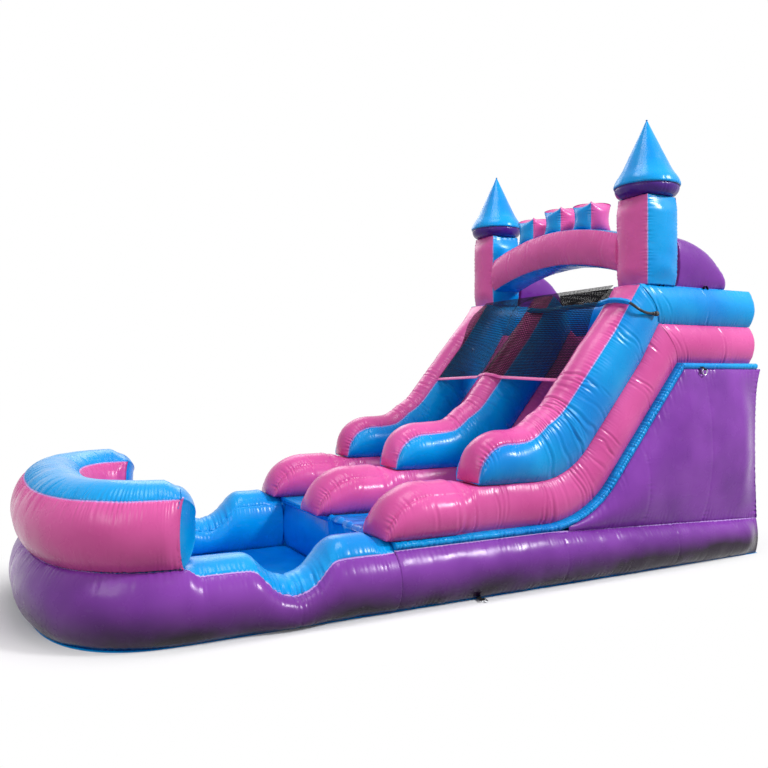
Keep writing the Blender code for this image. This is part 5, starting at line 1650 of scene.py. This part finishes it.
def blower_sleeve():
    """The cloth tube that the blower's outlet goes in, with its bore open, and slack folds.

    Its radius sags in three waves round it and wrinkles in sines along it."""
    start = REAR_X + 0.062
    along = np.linspace(0, BLOWER_LENGTH, 60)[:, None]
    turn = np.linspace(0, 2 * np.pi, 96, endpoint=False)
    sag = 0.007 * np.cos(3 * turn + 1.0) * (along / BLOWER_LENGTH)
    wrinkle = 0.004 * np.sin(2 * np.pi * along / 0.045 + 2 * np.cos(2 * turn))
    radius = BLOWER_RADIUS - 0.004 + sag + wrinkle * smooth(along, 0, 0.05)
    radius += puckers(turn[None] * BLOWER_RADIUS, along, 0.006, 0.05, 0.03, 4001)
    z = SHEET + GAP + BLOWER_RADIUS
    outer, inner = (spots(start + along, BLOWER_Y + r * np.cos(turn), z + r * np.sin(turn))
                    for r in (radius, radius - 0.0025))
    grid = np.concatenate([outer, inner[::-1]])
    paint = plain(grid)
    paint[HEM_ROWS] = 1
    piece = skin("blower_sleeve_cloth", grid, (PURPLE, LILAC), paint, wrap_rows=True)
    lay(piece, "purple", (2 * np.pi * BLOWER_RADIUS, BLOWER_LENGTH), "gathered", ["ground_sheet_cloth"])


blower_sleeve()


def tilted(sign, angle):
    """Unit vectors out of the side and square to it, turned down by an angle below level."""
    outward = np.array([0, sign * math.cos(angle), -math.sin(angle)])
    return outward, np.array([0, sign * math.sin(angle), math.cos(angle)])


def webbing_tab(name, centre, outward, up):
    """A webbing tab: its outline is two lines and a half circle round the ring's bar, its edges
    are thinner, and its cut faces are closed round the bar's bore."""
    eye = RING_WIRE + 0.0006
    skin_radius = eye + 0.0035
    turn = np.linspace(-np.pi / 2, np.pi / 2, 20)
    back = np.linspace(-TAB_LENGTH, -0.013, 24)
    outline = np.concatenate([np.stack([back, -0.0017 + 0 * back], -1),
                              np.stack([skin_radius * np.cos(turn), skin_radius * np.sin(turn)], -1),
                              np.stack([back[::-1], 0.0017 + 0 * back], -1)])[:, None]
    wide = np.linspace(-WEBBING / 2, WEBBING / 2, 22)
    along_x = np.array([1.0, 0, 0]) * wide[:, None]
    edge = (1 - 0.25 * (np.abs(wide) / (WEBBING / 2)) ** 10)[None, :, None]
    grid = centre + outward * outline[..., :1] + up * (outline[..., 1:] * edge) + along_x
    ring_turn = np.linspace(0, 2 * np.pi, 24, endpoint=False)[:, None]
    hole = centre + outward * (eye * np.cos(ring_turn)) + up * (eye * np.sin(ring_turn))
    bore = hole[:, None] + along_x[[0, -1]]
    rows, cols = grid.shape[:2]
    verts = np.concatenate([grid.reshape(-1, 3), bore.reshape(-1, 3)])
    index = rows * cols + np.arange(2 * len(hole)).reshape(-1, 2)
    over = np.roll(index, -1, 0)
    bore_quads = np.stack([index[:, 1], over[:, 1], over[:, 0], index[:, 0]], -1)
    tris = []
    for column, end, flip in ((0, 0, 1), (cols - 1, 1, -1)):
        rim = np.arange(rows) * cols + column
        near = np.argmin(np.linalg.norm(verts[rim][:, None] - hole - along_x[column], axis=-1), 1)
        own = index[near, end]
        ahead, own_ahead = np.roll(rim, -1), np.roll(own, -1)
        tris.append(np.stack([rim, ahead, own], -1)[:, ::flip])
        tris.append(np.stack([ahead, own_ahead, own], -1)[own != own_ahead][:, ::flip])
    tris = np.concatenate(tris)
    quads = np.concatenate([grid_quads(rows, cols, True, False), bore_quads])
    paint = plain(grid)
    paint[TAB_STITCH_ROWS, STITCHED] = 1
    painted = np.concatenate([paint[:, :-1].ravel(), np.zeros(len(bore_quads) + len(tris), int)])
    stand_for(make_piece(f"{name}_tab_webbing", verts, quads, (STRAPS, STITCH), painted, tris))


def wire_ring(name, centre, outward, up, body):
    """A D-ring: a straight bar and half an ellipse, with rounded corners, bent from round wire."""
    bend = np.linspace(0, np.pi, 60)
    loop = np.concatenate([
        np.stack([np.linspace(-RING_HALF + 0.004, RING_HALF - 0.004, 24), np.zeros(24)], -1),
        np.stack([RING_HALF * np.cos(bend), 0.010 + (RING_DEPTH - 0.010) * np.sin(bend)], -1)])
    loop = evenly(np.concatenate([loop, loop[:1]]), 140, False)
    path = centre + np.array([1.0, 0, 0]) * loop[:, :1] + outward * loop[:, 1:]
    for _ in range(4):
        path = (np.roll(path, 1, 0) + 2 * path + np.roll(path, -1, 0)) / 4
    ahead = np.roll(path, -1, 0) - np.roll(path, 1, 0)
    ahead /= np.linalg.norm(ahead, axis=1)[:, None]
    grid = round_wire(path, RING_WIRE, 20, np.cross(ahead, up), up)
    stand_for(skin(f"{name}_ring_wire", grid, (RING_STEEL,), wrap_rows=True, body=body))


def anchor(name, x, y, z, sign, tilt, hang, body):
    """A tab sewn to the side at a tilt, and its D-ring at the angle that it hangs at."""
    outward, up = tilted(sign, tilt)
    centre = np.array([x, y + sign * 0.0018 * math.sin(tilt), z]) + outward * TAB_LENGTH
    webbing_tab(name, centre, outward, up)
    wire_ring(name, centre, *tilted(sign, hang), body)


for side, sign in SIDES:
    anchor(f"base_anchor_{side}", BASE_ANCHOR_X, sign * (HALF_WIDTH + BASE_TAB_OUT), BASE_TAB_Z, sign, 0.0,
           math.radians(9), f"base_ring_{side}")
    anchor(f"guy_anchor_{side}", DECK_ANCHOR_X, sign * (HALF_WIDTH + GAP), DECK_Z - BED / 2, sign,
           math.radians(35), math.radians(90), f"guy_ring_{side}")


def tie_loop(name, x, sign):
    """A small webbing loop sewn to a rail's top seam: half an ellipse over the seam."""
    turn = np.linspace(0, np.pi, 24)
    middles = spots(x + 0.026 * np.cos(turn), sign * (WALL_Y + WALL_HALF + 0.006),
                    RAIL_TOP - 0.012 + 0.030 * np.sin(turn))
    shell(name, strap_grid(middles, 0.6 * WEBBING), 0.8 * STRAP, (STRAPS,))


for side, sign in SIDES:
    for number, x in enumerate(LOOP_PLACES, 1):
        tie_loop(f"tie_loop_{side}_{number}", x, sign)


# Floor and light

WHITE = (1.0, 1.0, 1.0, 1.0)


def seen_rays(tree):
    """1 for rays of the camera, of reflections and through clear things, 0 for the light's own."""
    path = add_node(tree, "LightPath", {})
    value = path.outputs["Is Camera Ray"]
    for name in ("Is Glossy Ray", "Is Transmission Ray"):
        value = add_node(tree, "Math", {0: value, 1: path.outputs[name]}, operation="MAXIMUM").outputs[0]
    return value


def make_floor():
    """A pale floor that fades to white away from the slide, by an ellipse on the ground."""
    bpy.ops.mesh.primitive_plane_add(size=120, location=(0, 0, -0.002))
    floor = bpy.context.object
    floor.name = "floor"
    n = Finish("pale floor")
    seen = seen_rays(n.tree)
    n.dress({"Base Color": n.mix(seen, tone(128, 128, 130), tone(246, 246, 248)), "Roughness": 0.9,
             "Specular IOR Level": 0.1})
    ellipse = n.add("VectorMath", {0: n.coords, 1: (1 / 3.0, 1 / 1.4, 1)}, operation="MULTIPLY")
    away = n.add("VectorMath", {0: ellipse.outputs["Vector"]}, operation="LENGTH").outputs["Value"]
    far = n.maths("MULTIPLY", n.spread(away, 0.93, 1.5), seen)
    blend = n.add("MixShader", {0: far, 1: n.shader.outputs[0], 2: n.add("Emission", {}).outputs[0]})
    feed(n.tree, n.tree.nodes["Material Output"], {"Surface": blend.outputs[0]})
    floor.data.materials.append(n.material)


def make_backdrop():
    """A white backdrop, which lights the slide more softly than it shows."""
    world = bpy.data.worlds.new("studio")
    bpy.context.scene.world = world
    world.use_nodes = True
    tree = world.node_tree
    tree.nodes.clear()
    soft = add_node(tree, "Background", {"Color": WHITE, "Strength": 0.34})
    white = add_node(tree, "Background", {"Color": WHITE})
    blend = add_node(tree, "MixShader", {0: seen_rays(tree), 1: soft.outputs[0], 2: white.outputs[0]})
    add_node(tree, "OutputWorld", {"Surface": blend.outputs[0]})


def lamp(name, place, size, power):
    """A square soft lamp that faces the middle of the slide."""
    data = bpy.data.lights.new(name, "AREA")
    data.size = size
    data.energy = power
    light = bpy.data.objects.new(name, data)
    light.location = place
    towards = Vector((0.3, 0, 1.0)) - Vector(place)
    light.rotation_euler = towards.to_track_quat("-Z", "Y").to_euler()
    bpy.context.scene.collection.objects.link(light)


make_floor()
make_backdrop()
lamp("key lamp", (6.5, -8.0, 8.5), 2.0, 1150)
lamp("front lamp", (-7.0, -4.0, 5.0), 3.5, 170)
lamp("rear lamp", (1.0, 8.0, 7.0), 5.0, 190)
lamp("top lamp", (-1.0, -1.0, 10.5), 4.0, 330)
bpy.context.scene.view_settings.view_transform = "Standard"
